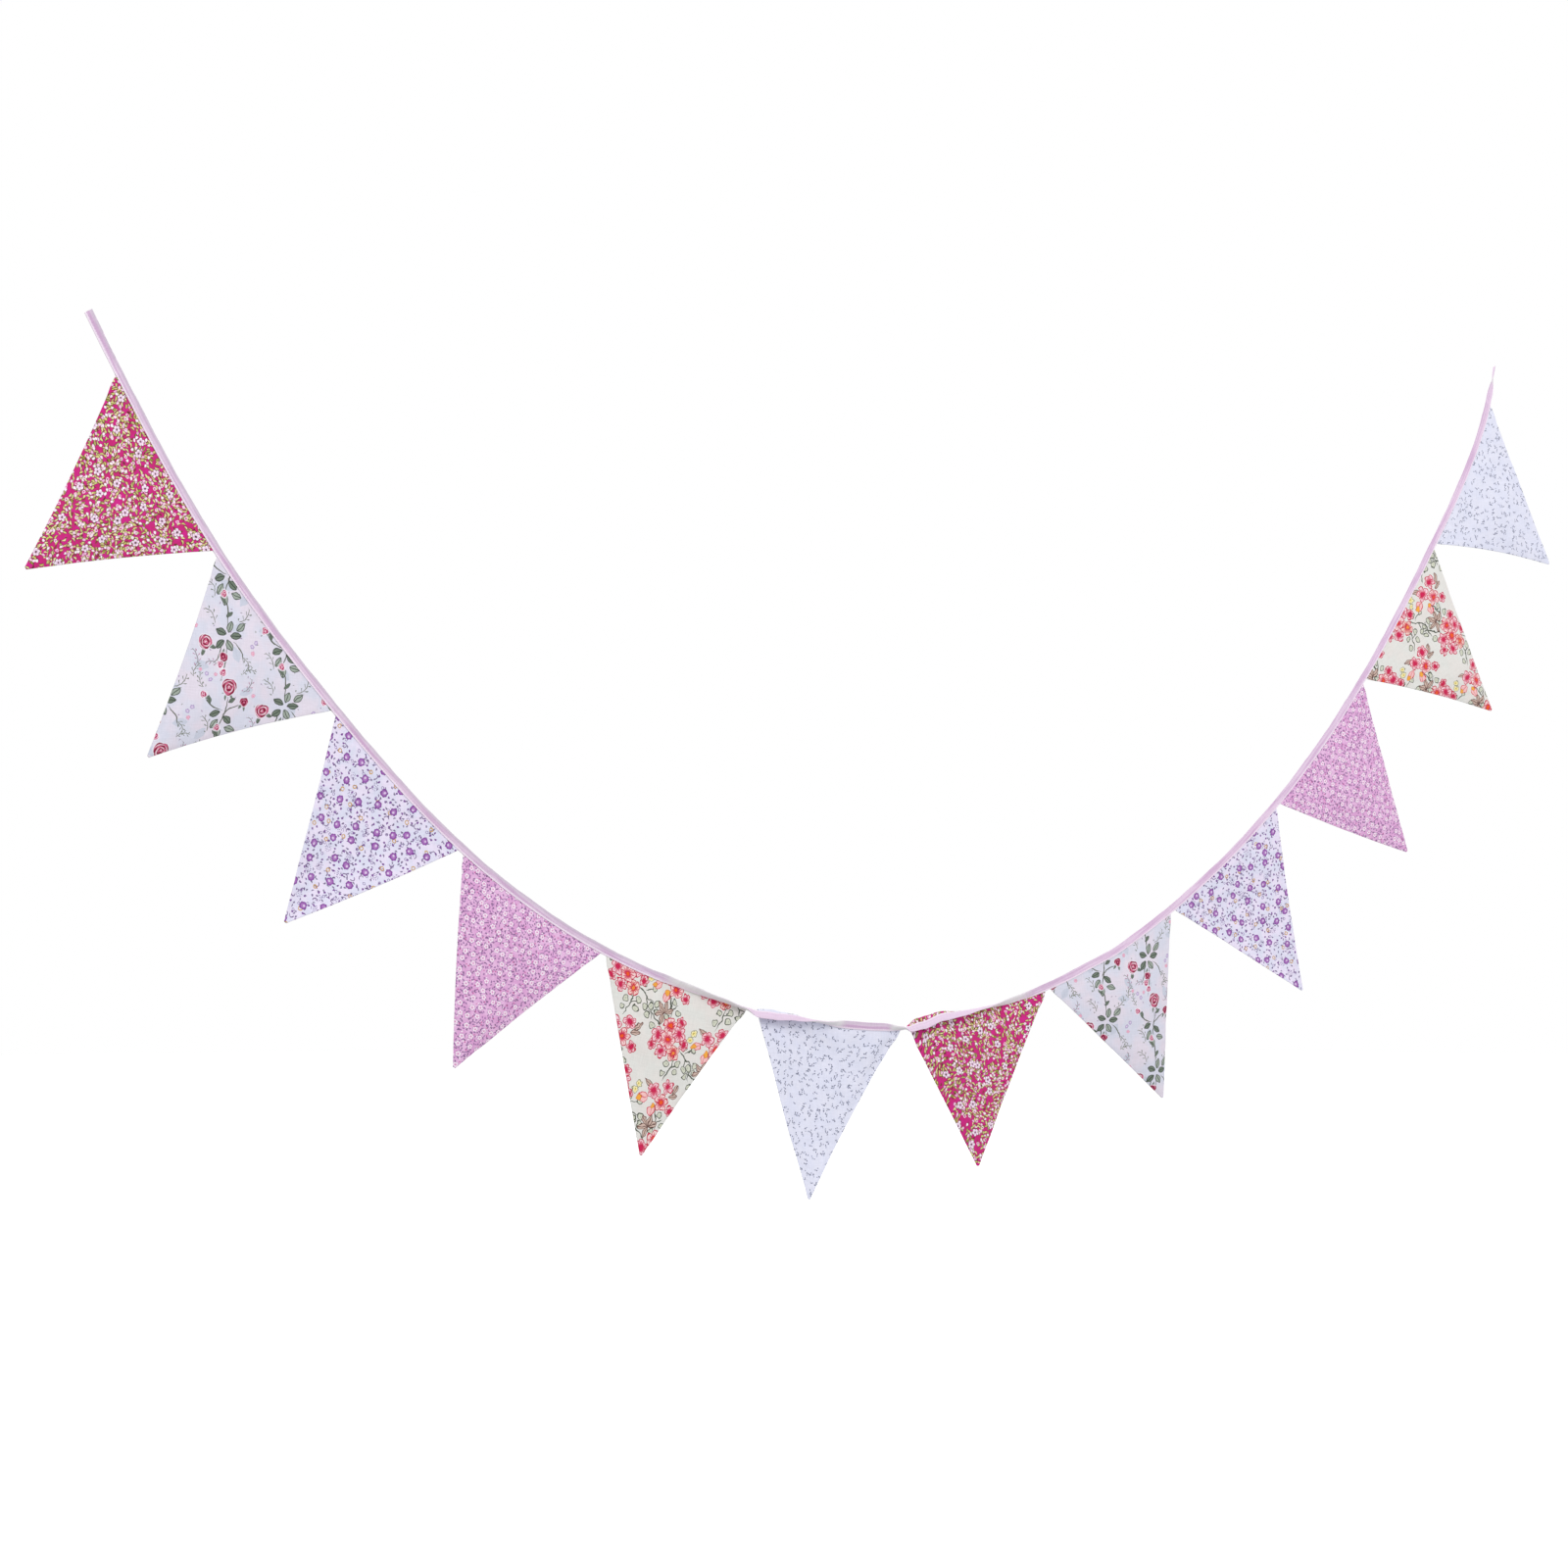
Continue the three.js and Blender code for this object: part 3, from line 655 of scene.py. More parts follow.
ringed = add(flower, MIX, {SHARE: outlined, UNDER: given["Under"], OVER: given["Line"]}, **RGBA)
whole = add(flower, MIX, {SHARE: inside, UNDER: ringed, OVER: petal_ink}, **RGBA)
add(flower, "NodeGroupOutput", {"Colour": whole})


def bent_run(tree, given):
    """Along and across a bent midrib: the run from -1 to 1, its arch, and the distance off it."""
    local = add(tree, SPLIT, [given["Local"]])
    half_length = add(tree, "MULTIPLY", [given["Length"], 0.5])
    run = add(tree, "DIVIDE", [local.outputs["X"], half_length])
    run_squared = add(tree, "MULTIPLY", [run, run])
    arch = add(tree, "SUBTRACT", [1.0, run_squared])
    off_rib = add(tree, "MULTIPLY_ADD", [arch, given["Bend"], local.outputs["Y"]])
    return local, run, arch, off_rib, add(tree, "ABSOLUTE", [off_rib])


# A leaf, comma, bud or stem: pointed at both ends, fuller at one, bent along its length.
leaf, given = new_group(
    "pointed leaf",
    {
        "Under": WHITE, "Local": NOWHERE, "Length": 4.0, "Width": 2.0, "Bend": 0.0, "Fullness": 0.0,
        "Ink": WHITE, "Line": WHITE, "Line width": 0.0, "Vein": 0.0, "Show": 1.0,
    },
    {"Colour": WHITE},
)
_, run, arch, _, spread = bent_run(leaf, given)
fuller = add(leaf, "MULTIPLY_ADD", [run, given["Fullness"], 1.0])
half_width = add(leaf, "MULTIPLY", [given["Width"], 0.5])
breadth = add(leaf, "MULTIPLY", [arch, fuller])
breadth = add(leaf, "MULTIPLY", [breadth, half_width])
beyond = add(leaf, "SUBTRACT", [spread, breadth])
beyond_line = add(leaf, "SUBTRACT", [beyond, given["Line width"]])
outlined = add(leaf, RANGE, [beyond_line, FINE_EDGE, -FINE_EDGE, 0.0, given["Show"]])
ends = add(leaf, RANGE, [arch, -0.25, 0.0, 0.0, 1.0])
outlined = add(leaf, "MULTIPLY", [outlined, ends])
inside = add(leaf, RANGE, [beyond, FINE_EDGE, -FINE_EDGE, 0.0, given["Show"]])
inside = add(leaf, "MULTIPLY", [inside, ends])
vein = add(leaf, RANGE, [spread, 0.55, 0.25, 0.0, given["Vein"]])
ink = add(leaf, MIX, {SHARE: vein, UNDER: given["Ink"], OVER: given["Line"]}, **RGBA)
ringed = add(leaf, MIX, {SHARE: outlined, UNDER: given["Under"], OVER: given["Line"]}, **RGBA)
whole = add(leaf, MIX, {SHARE: inside, UNDER: ringed, OVER: ink}, **RGBA)
add(leaf, "NodeGroupOutput", {"Colour": whole})

# A ring, hook or dot: a line round a centre, open for some of its turn.
ring_mark, given = new_group(
    "ring",
    {
        "Under": WHITE, "Local": NOWHERE, "Radius": 2.0, "Line width": 0.6, "Open": -1.1, "Ink": WHITE,
        "Show": 1.0,
    },
    {"Colour": WHITE},
)
distance = add(ring_mark, VECTOR_MATH, [given["Local"]], operation="LENGTH").outputs["Value"]
from_ring = add(ring_mark, "SUBTRACT", [distance, given["Radius"]])
from_ring = add(ring_mark, "ABSOLUTE", [from_ring])
half_line = add(ring_mark, "MULTIPLY", [given["Line width"], 0.5])
beyond = add(ring_mark, "SUBTRACT", [from_ring, half_line])
drawn = add(ring_mark, RANGE, [beyond, FINE_EDGE, -FINE_EDGE, 0.0, given["Show"]])
local = add(ring_mark, SPLIT, [given["Local"]])
lean = add(ring_mark, "DIVIDE", [local.outputs["X"], given["Radius"]])
closed = add(ring_mark, "GREATER_THAN", [lean, given["Open"]])
drawn = add(ring_mark, "MULTIPLY", [drawn, closed])
whole = add(ring_mark, MIX, {SHARE: drawn, UNDER: given["Under"], OVER: given["Ink"]}, **RGBA)
add(ring_mark, "NodeGroupOutput", {"Colour": whole})

# A rose: rounds of crescent petals about the heart, dark at their edges.
rose, given = new_group(
    "wound rose",
    {
        "Under": WHITE, "Local": NOWHERE, "Radius": 9.0, "Winding": 2.3, "Dark": WHITE, "Middle": WHITE,
        "Pale": WHITE, "Halo": WHITE, "Show": 1.0,
    },
    {"Colour": WHITE},
)
local = add(rose, SPLIT, [given["Local"]])
angle = add(rose, "ARCTAN2", [local.outputs["Y"], local.outputs["X"]])
distance = add(rose, VECTOR_MATH, [given["Local"]], operation="LENGTH").outputs["Value"]
lobes = add(rose, "MULTIPLY", [angle, 1.5])
lobes = add(rose, "COSINE", [lobes])
lobes = add(rose, "ABSOLUTE", [lobes])
reach = add(rose, "MULTIPLY_ADD", [lobes, 0.16, 0.84])
reach = add(rose, "MULTIPLY", [reach, given["Radius"]])
share = add(rose, "DIVIDE", [distance, given["Radius"]])
one_side = add(rose, "ADD", [angle, 0.8])
one_side = add(rose, "SINE", [one_side])
crowding = add(rose, "MULTIPLY_ADD", [one_side, 0.28, 1.0])
wound = add(rose, "MULTIPLY", [share, given["Winding"]])
wound = add(rose, "MULTIPLY", [wound, crowding])
round_of = add(rose, "FLOOR", [wound])
within = add(rose, "FRACT", [wound])
stagger = add(rose, "MULTIPLY_ADD", [round_of, 1.3, angle])
petal_angle = add(rose, "MULTIPLY", [stagger, 1.5])
petal = add(rose, "COSINE", [petal_angle])
petal = add(rose, "ABSOLUTE", [petal])
dark_from = add(rose, "MULTIPLY_ADD", [petal, -0.6, 0.94])
dark_past = add(rose, "SUBTRACT", [within, dark_from])
dark_edge = add(rose, RANGE, [dark_past, -0.06, 0.06, 0.0, 1.0])
pale_to = add(rose, "MULTIPLY", [petal, 0.38])
pale_past = add(rose, "SUBTRACT", [within, pale_to])
pale_edge = add(rose, RANGE, [pale_past, 0.08, -0.08, 0.0, 1.0])
ink = add(rose, MIX, {SHARE: pale_edge, UNDER: given["Middle"], OVER: given["Pale"]}, **RGBA)
ink = add(rose, MIX, {SHARE: dark_edge, UNDER: ink, OVER: given["Dark"]}, **RGBA)
beyond = add(rose, "SUBTRACT", [distance, reach])
inside = add(rose, RANGE, [beyond, SOFT_EDGE, -SOFT_EDGE, 0.0, given["Show"]])
haloed = add(rose, RANGE, [beyond, 1.4, 0.0, 0.0, given["Show"]])
ringed = add(rose, MIX, {SHARE: haloed, UNDER: given["Under"], OVER: given["Halo"]}, **RGBA)
whole = add(rose, MIX, {SHARE: inside, UNDER: ringed, OVER: ink}, **RGBA)
add(rose, "NodeGroupOutput", {"Colour": whole})

# A twig: a thin stem with small commas set along both sides of it.
twig, given = new_group(
    "budding twig",
    {
        "Under": WHITE, "Local": NOWHERE, "Length": 24.0, "Bend": 2.0, "Stem": WHITE, "Bud": WHITE,
        "Reach": 3.6, "Spacing": 5.6, "Show": 1.0,
    },
    {"Colour": WHITE},
)
local, _, arch, off_stem, spread = bent_run(twig, given)
on_twig = add(twig, RANGE, [arch, 0.0, 0.06, 0.0, given["Show"]])
stem_line = add(twig, RANGE, [spread, 0.5, 0.24, 0.0, on_twig])
which = add(twig, "SIGN", [off_stem])
stagger = add(twig, "MULTIPLY", [which, 0.25])
slanted = add(twig, "MULTIPLY_ADD", [spread, -0.8, local.outputs["X"]])
step = add(twig, "DIVIDE", [slanted, given["Spacing"]])
step = add(twig, "ADD", [step, stagger])
step = add(twig, "FRACT", [step])
step = add(twig, "SUBTRACT", [step, 0.5])
step = add(twig, "ABSOLUTE", [step])
aside = add(twig, "MULTIPLY", [step, given["Spacing"]])
reach_share = add(twig, "DIVIDE", [spread, given["Reach"]])
bud_width = add(twig, RANGE, [reach_share, 0.2, 0.9, 0.14, 0.6])
bud_past = add(twig, "SUBTRACT", [aside, bud_width])
bud_here = add(twig, RANGE, [bud_past, SOFT_EDGE, -SOFT_EDGE, 0.0, on_twig])
bud_end = add(twig, "LESS_THAN", [reach_share, 1.0])
budded = add(twig, "MULTIPLY", [bud_here, bud_end])
tip = add(twig, RANGE, [reach_share, 0.45, 0.65, 0.0, 1.0])
bud_ink = add(twig, MIX, {SHARE: tip, UNDER: given["Stem"], OVER: given["Bud"]}, **RGBA)
stemmed = add(twig, MIX, {SHARE: stem_line, UNDER: given["Under"], OVER: given["Stem"]}, **RGBA)
whole = add(twig, MIX, {SHARE: budded, UNDER: stemmed, OVER: bud_ink}, **RGBA)
add(twig, "NodeGroupOutput", {"Colour": whole})


def hand_drawn(tree, place, sway=0.9, span=5.0):
    """The flat place on the cloth, wavered as a hand-drawn print is."""
    noise = add(tree, NOISE, {"Vector": place, "Scale": 1 / span, "Detail": 1.0}, noise_dimensions="2D")
    centred = add(tree, VECTOR_MATH, [noise.outputs["Color"], (0.5, 0.5, 0.5)], operation="SUBTRACT")
    swayed = add(tree, VECTOR_MATH, {0: centred, "Scale": 2 * sway}, operation="SCALE")
    moved = add(tree, VECTOR_MATH, [place, swayed], operation="ADD")
    return add(tree, VECTOR_MATH, [moved, (1.0, 1.0, 0.0)], operation="MULTIPLY")


def clouded(tree, place, first, second, span):
    """A ground that drifts between two tones, in patches of about the span in mm."""
    noise = add(tree, NOISE, {"Vector": place, "Scale": 1 / span, "Detail": 2.0}, noise_dimensions="2D")
    drift = add(tree, RANGE, [noise, 0.38, 0.62, 0.0, 1.0])
    return add(tree, MIX, {SHARE: drift, UNDER: colour(first), OVER: colour(second)}, **RGBA)


def toss(
    tree, under, place, pitch, slide, motif, inks, sizes,
    grid=0.3, jitter=0.8, kept=1.0, second_ink=None, beside=NOWHERE,
):
    """Tosses a motif over the cloth. Kept is the share that is printed, and the ink may vary.
    The same pitch, slide, grid and jitter give the same places, and beside steps off them in mm."""
    spots = add(
        tree, GROUP,
        {"Cloth": place, "Pitch": pitch, "Jitter": jitter, "Slide": (slide, slide * 1.7, 0), "Grid": grid},
        node_tree=tossed,
    )
    luck = add(tree, SPLIT_COLOUR, [spots.outputs["Luck"]])
    shown = add(tree, "LESS_THAN", [luck.outputs["Green"], kept])
    inks = {name: colour(code) for name, code in inks.items()}
    if second_ink:
        name, code = second_ink
        between = luck.outputs["Blue"]
        inks[name] = add(tree, MIX, {SHARE: between, UNDER: inks[name], OVER: colour(code)}, **RGBA)
    local = add(tree, VECTOR_MATH, [spots.outputs["Local"], beside], operation="SUBTRACT")
    sockets = {"Under": under, "Local": local, "Show": shown, **inks, **sizes}
    return add(tree, GROUP, sockets, node_tree=motif)


def one_ink(code):
    """The inks of a mark with no line of its own colour."""
    return {"Ink": code, "Line": code}


# First and seventh pennants: cotton with white and lilac flowers packed among curled yellow-green
# leaves on magenta. Printed in flat inks, each motif with a darker shadow line.
magenta_cotton, place = start_cotton("Magenta flowered cotton")
tree = magenta_cotton.node_tree
drawn = hand_drawn(tree, place, 0.8, 4.0)
inked = clouded(tree, place, "d2248a", "c82476", 9.0)
SHADOW = {"Line": "4a2220"}
STRAW = {"Ink": "cdc66a", **SHADOW}
OLIVE = {"Ink": "95963a", **SHADOW}
CREAM = ("Ink", "ece3a8")
CURL = {"Length": 4.7, "Width": 1.7, "Bend": 0.85, "Fullness": 0.3, "Line width": 0.5}
inked = toss(
    tree, inked, drawn, 6.3, 23.0, leaf, {"Ink": "5f2c24", **SHADOW},
    {"Length": 3.8, "Width": 1.5, "Bend": 0.6}, grid=2.4, kept=0.6, second_ink=("Ink", "8c4034"),
)
inked = toss(tree, inked, drawn, 6.9, 97.0, leaf, STRAW, CURL, grid=1.8, kept=0.42, second_ink=CREAM)
for pitch, slide, grid, ink, beside in (
    (8.8, 3.0, 0.4, STRAW, (2.9, 0.9, 0)), (8.8, 3.0, 0.4, OLIVE, (-2.1, 2.6, 0)),
    (8.8, 3.0, 0.4, STRAW, (-1.4, -2.8, 0)), (9.6, 41.0, 1.1, OLIVE, (2.6, -1.4, 0)),
    (9.6, 41.0, 1.1, STRAW, (-2.8, -0.7, 0)), (9.6, 41.0, 1.1, STRAW, (0.6, 3.0, 0)),
):
    inked = toss(
        tree, inked, drawn, pitch, slide, leaf, ink, CURL,
        grid=grid, jitter=0.9, kept=0.8, second_ink=CREAM, beside=beside,
    )
inked = toss(
    tree, inked, drawn, 8.8, 3.0, leaf, {"Ink": "fdeef6", "Line": "6d1c40"},
    {"Length": 3.5, "Width": 2.6, "Fullness": 0.4, "Line width": 0.35}, grid=0.4, jitter=0.9, kept=0.85,
    second_ink=("Ink", "f3b4dc"),
)
inked = toss(
    tree, inked, drawn, 9.6, 41.0, leaf, {"Ink": "ee9fd2", "Line": "6d1c40"},
    {"Length": 3.6, "Width": 2.3, "Bend": 0.5, "Line width": 0.35}, grid=1.1, jitter=0.9, kept=0.75,
    second_ink=("Ink", "fbe3f1"),
)
inked = toss(
    tree, inked, drawn, 8.4, 127.0, leaf, {"Ink": "fdf0f7", "Line": "6d1c40"},
    {"Length": 3.4, "Width": 2.4, "Fullness": 0.5, "Line width": 0.35}, grid=2.9, kept=0.5,
)
inked = toss(
    tree, inked, drawn, 9.5, 151.0, ring_mark, {"Ink": "f6d3ea"},
    {"Radius": 1.2, "Line width": 0.85}, grid=2.6, kept=0.5,
)
inked = toss(
    tree, inked, drawn, 22.0, 191.0, flower,
    {"Petal": "fdf3fa", "Blush": "efd0ea", "Heart": "4d3a30", "Line": "5c2436"},
    {"Radius": 3.8, "Petals": 5.0, "Notch": 0.5, "Heart reach": 0.27, "Line width": 0.55},
    grid=0.2, jitter=0.85, kept=0.9, second_ink=("Heart", "8a5a72"),
)
woven_cotton(magenta_cotton, place, inked)
pennant_cloth(1, magenta_cotton, -54, (31, 12))
pennant_cloth(7, magenta_cotton, 8, (402, 97))


def chart(tree, under, place, repeat, rows):
    """Draws charted motifs, each over the last: a row has a motif, inks, sizes and its places."""
    slant = np.radians(45)
    turned = add(tree, ROTATE, {"Vector": place, "Angle": slant}, rotation_type="Z_AXIS")
    for motif, inks, sizes, spots in rows:
        inks = {name: colour(code) for name, code in inks.items()}
        for x, y, turn in spots:
            at = (x * np.cos(slant) - y * np.sin(slant), x * np.sin(slant) + y * np.cos(slant), 0)
            facing = np.radians(turn) + slant
            where = {"Under": under, "Cloth": turned, "Place": at, "Turn": facing, "Repeat": repeat}
            spot = add(tree, GROUP, where, node_tree=charted)
            under = add(tree, GROUP, {"Under": under, "Local": spot, **inks, **sizes}, node_tree=motif)
    return under


# Second and eighth pennants: lavender-white cotton with sprays of red roses, grey-green leaves and
# thin twigs, over a faint wash of pink and blue leaf shapes.
rose_cotton, place = start_cotton("Rose-sprayed white cotton")
tree = rose_cotton.node_tree
drawn = hand_drawn(tree, place, 0.9, 6.0)
inked = clouded(tree, place, "dadbea", "e4dce9", 26.0)
inked = toss(
    tree, inked, drawn, 27.0, 5.0, leaf, {"Ink": "cdd1e0", "Line": "c6cadb"},
    {"Length": 15.0, "Width": 8.0, "Vein": 0.6}, kept=0.55,
)
inked = toss(
    tree, inked, drawn, 11.0, 61.0, leaf, one_ink("9aa39b"),
    {"Length": 2.4, "Width": 1.0, "Bend": 0.4}, kept=0.3, second_ink=("Ink", "b79fc4"),
)
STEM = one_ink("62665a")
GREEN_LEAF = {"Ink": "a4aea4", "Line": "475148"}
DARK_LEAF = {"Ink": "727e71", "Line": "3d473e"}
TWIG = {"Stem": "7e8278", "Bud": "6b7566"}
PINK_TWIG = {"Stem": "8a8188", "Bud": "b77a9c"}
RED_ROSE = {"Dark": "8c1a3e", "Middle": "cc6586", "Pale": "eecfdb", "Halo": "ebe8f1"}
RED_BUD = {"Dark": "7e1638", "Middle": "a92f58", "Pale": "d98ca6", "Halo": "ebe8f1"}
PINK_BUD = {"Dark": "b03a64", "Middle": "dd8fac", "Pale": "f3dce6", "Halo": "efecf5"}
LILAC_BLOOM = {"Petal": "b39ccb", "Blush": "cdbcdc", "Heart": "f0e8f4", "Line": "9a86b6"}
PINK_BLOOM = {"Petal": "e59bbb", "Blush": "f2c6d8", "Heart": "c03c6c", "Line": "cf7ba1"}
BIG_LEAF = {"Length": 10.5, "Width": 5.2, "Line width": 0.8, "Vein": 1.0}
SMALL_LEAF = {"Length": 8.0, "Width": 3.2, "Line width": 0.35, "Vein": 0.6}
SEPAL = {"Length": 6.5, "Width": 2.0, "Bend": 0.6, "Line width": 0.2}
ROSE_REPEAT = 88.0
ROSE_SPRAYS = [
    (leaf, STEM, {"Length": 34.0, "Width": 1.3, "Bend": 2.0},
     [(-0.5, -8.5, 77), (60, 24, 95), (59, -24, 80)]),
    (leaf, STEM, {"Length": 23.0, "Width": 1.2, "Bend": -3.0},
     [(9, -7, 27), (-11, 0, 146), (74, -14, -60), (52, -15, 250)]),
    (twig, TWIG, {"Length": 17.0, "Bend": 3.0}, [(-18, -20, 120), (80, 20, 45), (44, 18, 130)]),
    (twig, TWIG, {"Length": 14.0, "Bend": -2.6, "Reach": 2.8, "Spacing": 4.2},
     [(82, -25, -70), (-24, 22, 100), (24, 30, 10), (33, -32, 60)]),
    (twig, PINK_TWIG, {"Length": 15.0, "Bend": 2.6, "Reach": 2.8, "Spacing": 4.8},
     [(23, 18, 60), (30, -20, 110), (-14, 36, 170)]),
    (leaf, DARK_LEAF, BIG_LEAF,
     [(-9, -10, 200), (5, -16, -40), (56, 4, 160), (71, 1, 5), (55, -7, 220)]),
    (leaf, GREEN_LEAF, BIG_LEAF,
     [(-8, -20, 235), (9, -25, -15), (-3, -29, 265), (65, 9, 70), (65, -8, -60), (76, 9, 40)]),
    (leaf, DARK_LEAF, SMALL_LEAF,
     [(8, 3, 30), (47, -10, -20), (38, -15, 250), (57, 33, 140), (64, 20, 40), (-16, 3, 100)]),
    (leaf, DARK_LEAF, SEPAL,
     [(1, 6, 250), (7, 7, -55), (17, -2, 60), (21, -4, 100), (-19, 5, 170), (58, -14, 60)]),
    (rose, RED_ROSE, {"Radius": 8.2, "Winding": 2.5}, [(4, 16, 20)]),
    (rose, RED_ROSE, {"Radius": 7.0, "Winding": 2.2}, [(40, -6, 140)]),
    (rose, RED_BUD, {"Radius": 4.5, "Winding": 1.7}, [(21, 2, 40), (59, -19, 250)]),
    (rose, PINK_BUD, {"Radius": 3.4, "Winding": 1.6},
     [(-22, 8, 120), (56, -26, 30), (59, -33, 200), (58, 38, 80)]),
    (flower, LILAC_BLOOM, {"Radius": 1.9, "Line width": 0.2},
     [(-16, 22, 0), (-20, 27, 30), (88, -8, 10), (92, -4, 50)]),
    (flower, PINK_BLOOM, {"Radius": 1.8, "Line width": 0.2},
     [(-11, 27, 20), (89, -14, 0), (-26, 31, 40), (30, 8, 15)]),
]
inked = chart(tree, inked, drawn, ROSE_REPEAT, ROSE_SPRAYS)
woven_cotton(rose_cotton, place, inked)
pennant_cloth(2, rose_cotton, -47, (-14, 4))
pennant_cloth(8, rose_cotton, 20, (203, 71))

# Third and ninth pennants: pale violet cotton with round purple flowers, ochre rings and many
# small commas, hooks and patches of dots between them.
violet_cotton, place = start_cotton("Violet-flowered cotton")
tree = violet_cotton.node_tree
drawn = hand_drawn(tree, place, 0.6, 4.0)
inked = clouded(tree, place, "ece3f8", "e0e0f4", 14.0)
DOT_PATCH = 22.0
patches = add(
    tree, GROUP, {"Cloth": drawn, "Pitch": DOT_PATCH, "Jitter": 0.8, "Slide": (9, 31, 0), "Grid": 0.7},
    node_tree=tossed,
)
patch_reach = add(tree, VECTOR_MATH, [patches.outputs["Local"]], operation="LENGTH").outputs["Value"]
in_patch = add(tree, RANGE, [patch_reach, 4.2, 3.6, 0.0, 1.0])
dotted = toss(
    tree, inked, drawn, 1.75, 13.0, ring_mark, {"Ink": "8a78a6"}, {"Radius": 0.0, "Line width": 0.95},
    jitter=0.6,
)
inked = add(tree, MIX, {SHARE: in_patch, UNDER: inked, OVER: dotted}, **RGBA)
inked = toss(
    tree, inked, drawn, 5.2, 37.0, leaf, one_ink("6f5c84"),
    {"Length": 3.1, "Width": 1.45, "Bend": 0.4, "Fullness": 0.4}, grid=0.5, kept=0.66,
    second_ink=("Ink", "9289a8"),
)
inked = toss(
    tree, inked, drawn, 7.4, 83.0, leaf, one_ink("7c4f96"),
    {"Length": 2.8, "Width": 1.8, "Bend": -0.3, "Fullness": 0.5}, grid=1.3, kept=0.62,
)
inked = toss(
    tree, inked, drawn, 14.0, 59.0, ring_mark, {"Ink": "6f5385"},
    {"Radius": 2.3, "Line width": 0.8, "Open": 0.0}, grid=0.9, kept=0.7,
)
inked = toss(
    tree, inked, drawn, 12.0, 127.0, ring_mark, {"Ink": "8f7bab"}, {"Radius": 1.25, "Line width": 0.6},
    grid=1.9, kept=0.6,
)
inked = toss(
    tree, inked, drawn, 21.0, 149.0, ring_mark, {"Ink": "cda263"},
    {"Radius": 1.7, "Line width": 1.0}, grid=2.3, kept=0.85,
)
inked = toss(
    tree, inked, drawn, 19.6, 173.0, flower,
    {"Petal": "85459a", "Blush": "b07cc0", "Heart": "e0cbea", "Line": "74408c"},
    {
        "Radius": 3.6, "Petals": 7.0, "Notch": 0.2, "Blush reach": 0.46, "Heart reach": 0.32,
        "Heart shift": (0.9, 0.3, 0), "Line width": 0.3,
    },
    grid=0.15, jitter=0.55, kept=0.97, second_ink=("Petal", "9450aa"),
)
woven_cotton(violet_cotton, place, inked)
pennant_cloth(3, violet_cotton, -43, (15, 66))
pennant_cloth(9, violet_cotton, 37, (311, 18))

# Fourth and tenth pennants: rose-pink cotton sprinkled with small white five-petalled flowers,
# mauve commas and tiny dots.
pink_cotton, place = start_cotton("Pink daisied cotton")
tree = pink_cotton.node_tree
drawn = hand_drawn(tree, place, 0.5, 3.0)
inked = clouded(tree, place, "e0a8d8", "eabde4", 12.0)
inked = toss(
    tree, inked, drawn, 3.3, 7.0, leaf, one_ink("a06ea6"),
    {"Length": 2.7, "Width": 1.2, "Bend": 0.4}, kept=0.8, second_ink=("Ink", "8e6a9c"),
)
inked = toss(
    tree, inked, drawn, 5.0, 43.0, leaf, one_ink("826289"),
    {"Length": 2.5, "Width": 1.2, "Fullness": 0.5}, grid=1.2, kept=0.7,
)
inked = toss(
    tree, inked, drawn, 6.1, 89.0, ring_mark, {"Ink": "cc5a9c"}, {"Radius": 0.0, "Line width": 1.3},
    grid=0.6, kept=0.5,
)
inked = toss(
    tree, inked, drawn, 6.7, 131.0, ring_mark, {"Ink": "f8e6f6"}, {"Radius": 0.0, "Line width": 1.5},
    grid=1.6, kept=0.5,
)
inked = toss(
    tree, inked, drawn, 9.6, 179.0, flower,
    {"Petal": "fdf1fb", "Blush": "f6dcf1", "Heart": "da97c6", "Line": "a878ac"},
    {"Radius": 2.55, "Petals": 5.0, "Notch": 0.36, "Heart reach": 0.34, "Line width": 0.35},
    grid=0.25, jitter=0.5, kept=0.95,
)
woven_cotton(pink_cotton, place, inked)
pennant_cloth(4, pink_cotton, -30, (27, 51))
pennant_cloth(10, pink_cotton, 47, (222, 8))

# Fifth and eleventh pennants: warm cream cotton with clusters of red-lined blossoms, brown-lined
# leaves and grey-green sprigs with round open leaves.
blossom_cotton, place = start_cotton("Blossomed cream cotton")
tree = blossom_cotton.node_tree
drawn = hand_drawn(tree, place, 2.3, 7.0)
inked = clouded(tree, place, "e4e4e0", "e6e2de", 24.0)
SPRIG = one_ink("4a5244")
ROUND_LEAF = {"Petal": "d5d7c6", "Blush": "d5d7c6", "Heart": "a9b09c", "Line": "424a3c"}
YELLOW_BLOOM = {"Petal": "f4efc6", "Blush": "f3e39a", "Heart": "b9a34c", "Line": "6d6a44"}
STAR_LEAF = {"Ink": "d0b6aa", "Line": "56302a"}
BELL = {"Ink": "f6c4c4", "Line": "cf2449"}
CAP = {"Ink": "f4ab45", "Line": "c4582a"}
ORANGE_HEART = {"Petal": "f7d6d6", "Blush": "ea5a72", "Heart": "ee5a22", "Line": "c41a44"}
PINK_HEART = {"Petal": "f6d0da", "Blush": "e6567e", "Heart": "d01c56", "Line": "c41a44"}
YELLOW_HEART = {"Petal": "f6d3ca", "Blush": "ee7a68", "Heart": "f2903a", "Line": "c41a44"}
BLOSSOM = {
    "Petals": 5.0, "Notch": 0.42, "Blush reach": 0.36, "Streak": 1.0, "Heart reach": 0.24,
    "Line width": 1.05,
}
SPRIG_LEAF = {"Radius": 2.7, "Petals": 3.0, "Notch": 0.22, "Heart reach": 0.2, "Line width": 0.85}
STAR = {"Length": 11.5, "Width": 4.4, "Line width": 0.7, "Vein": 0.9}
BLOSSOM_REPEAT = 80.0
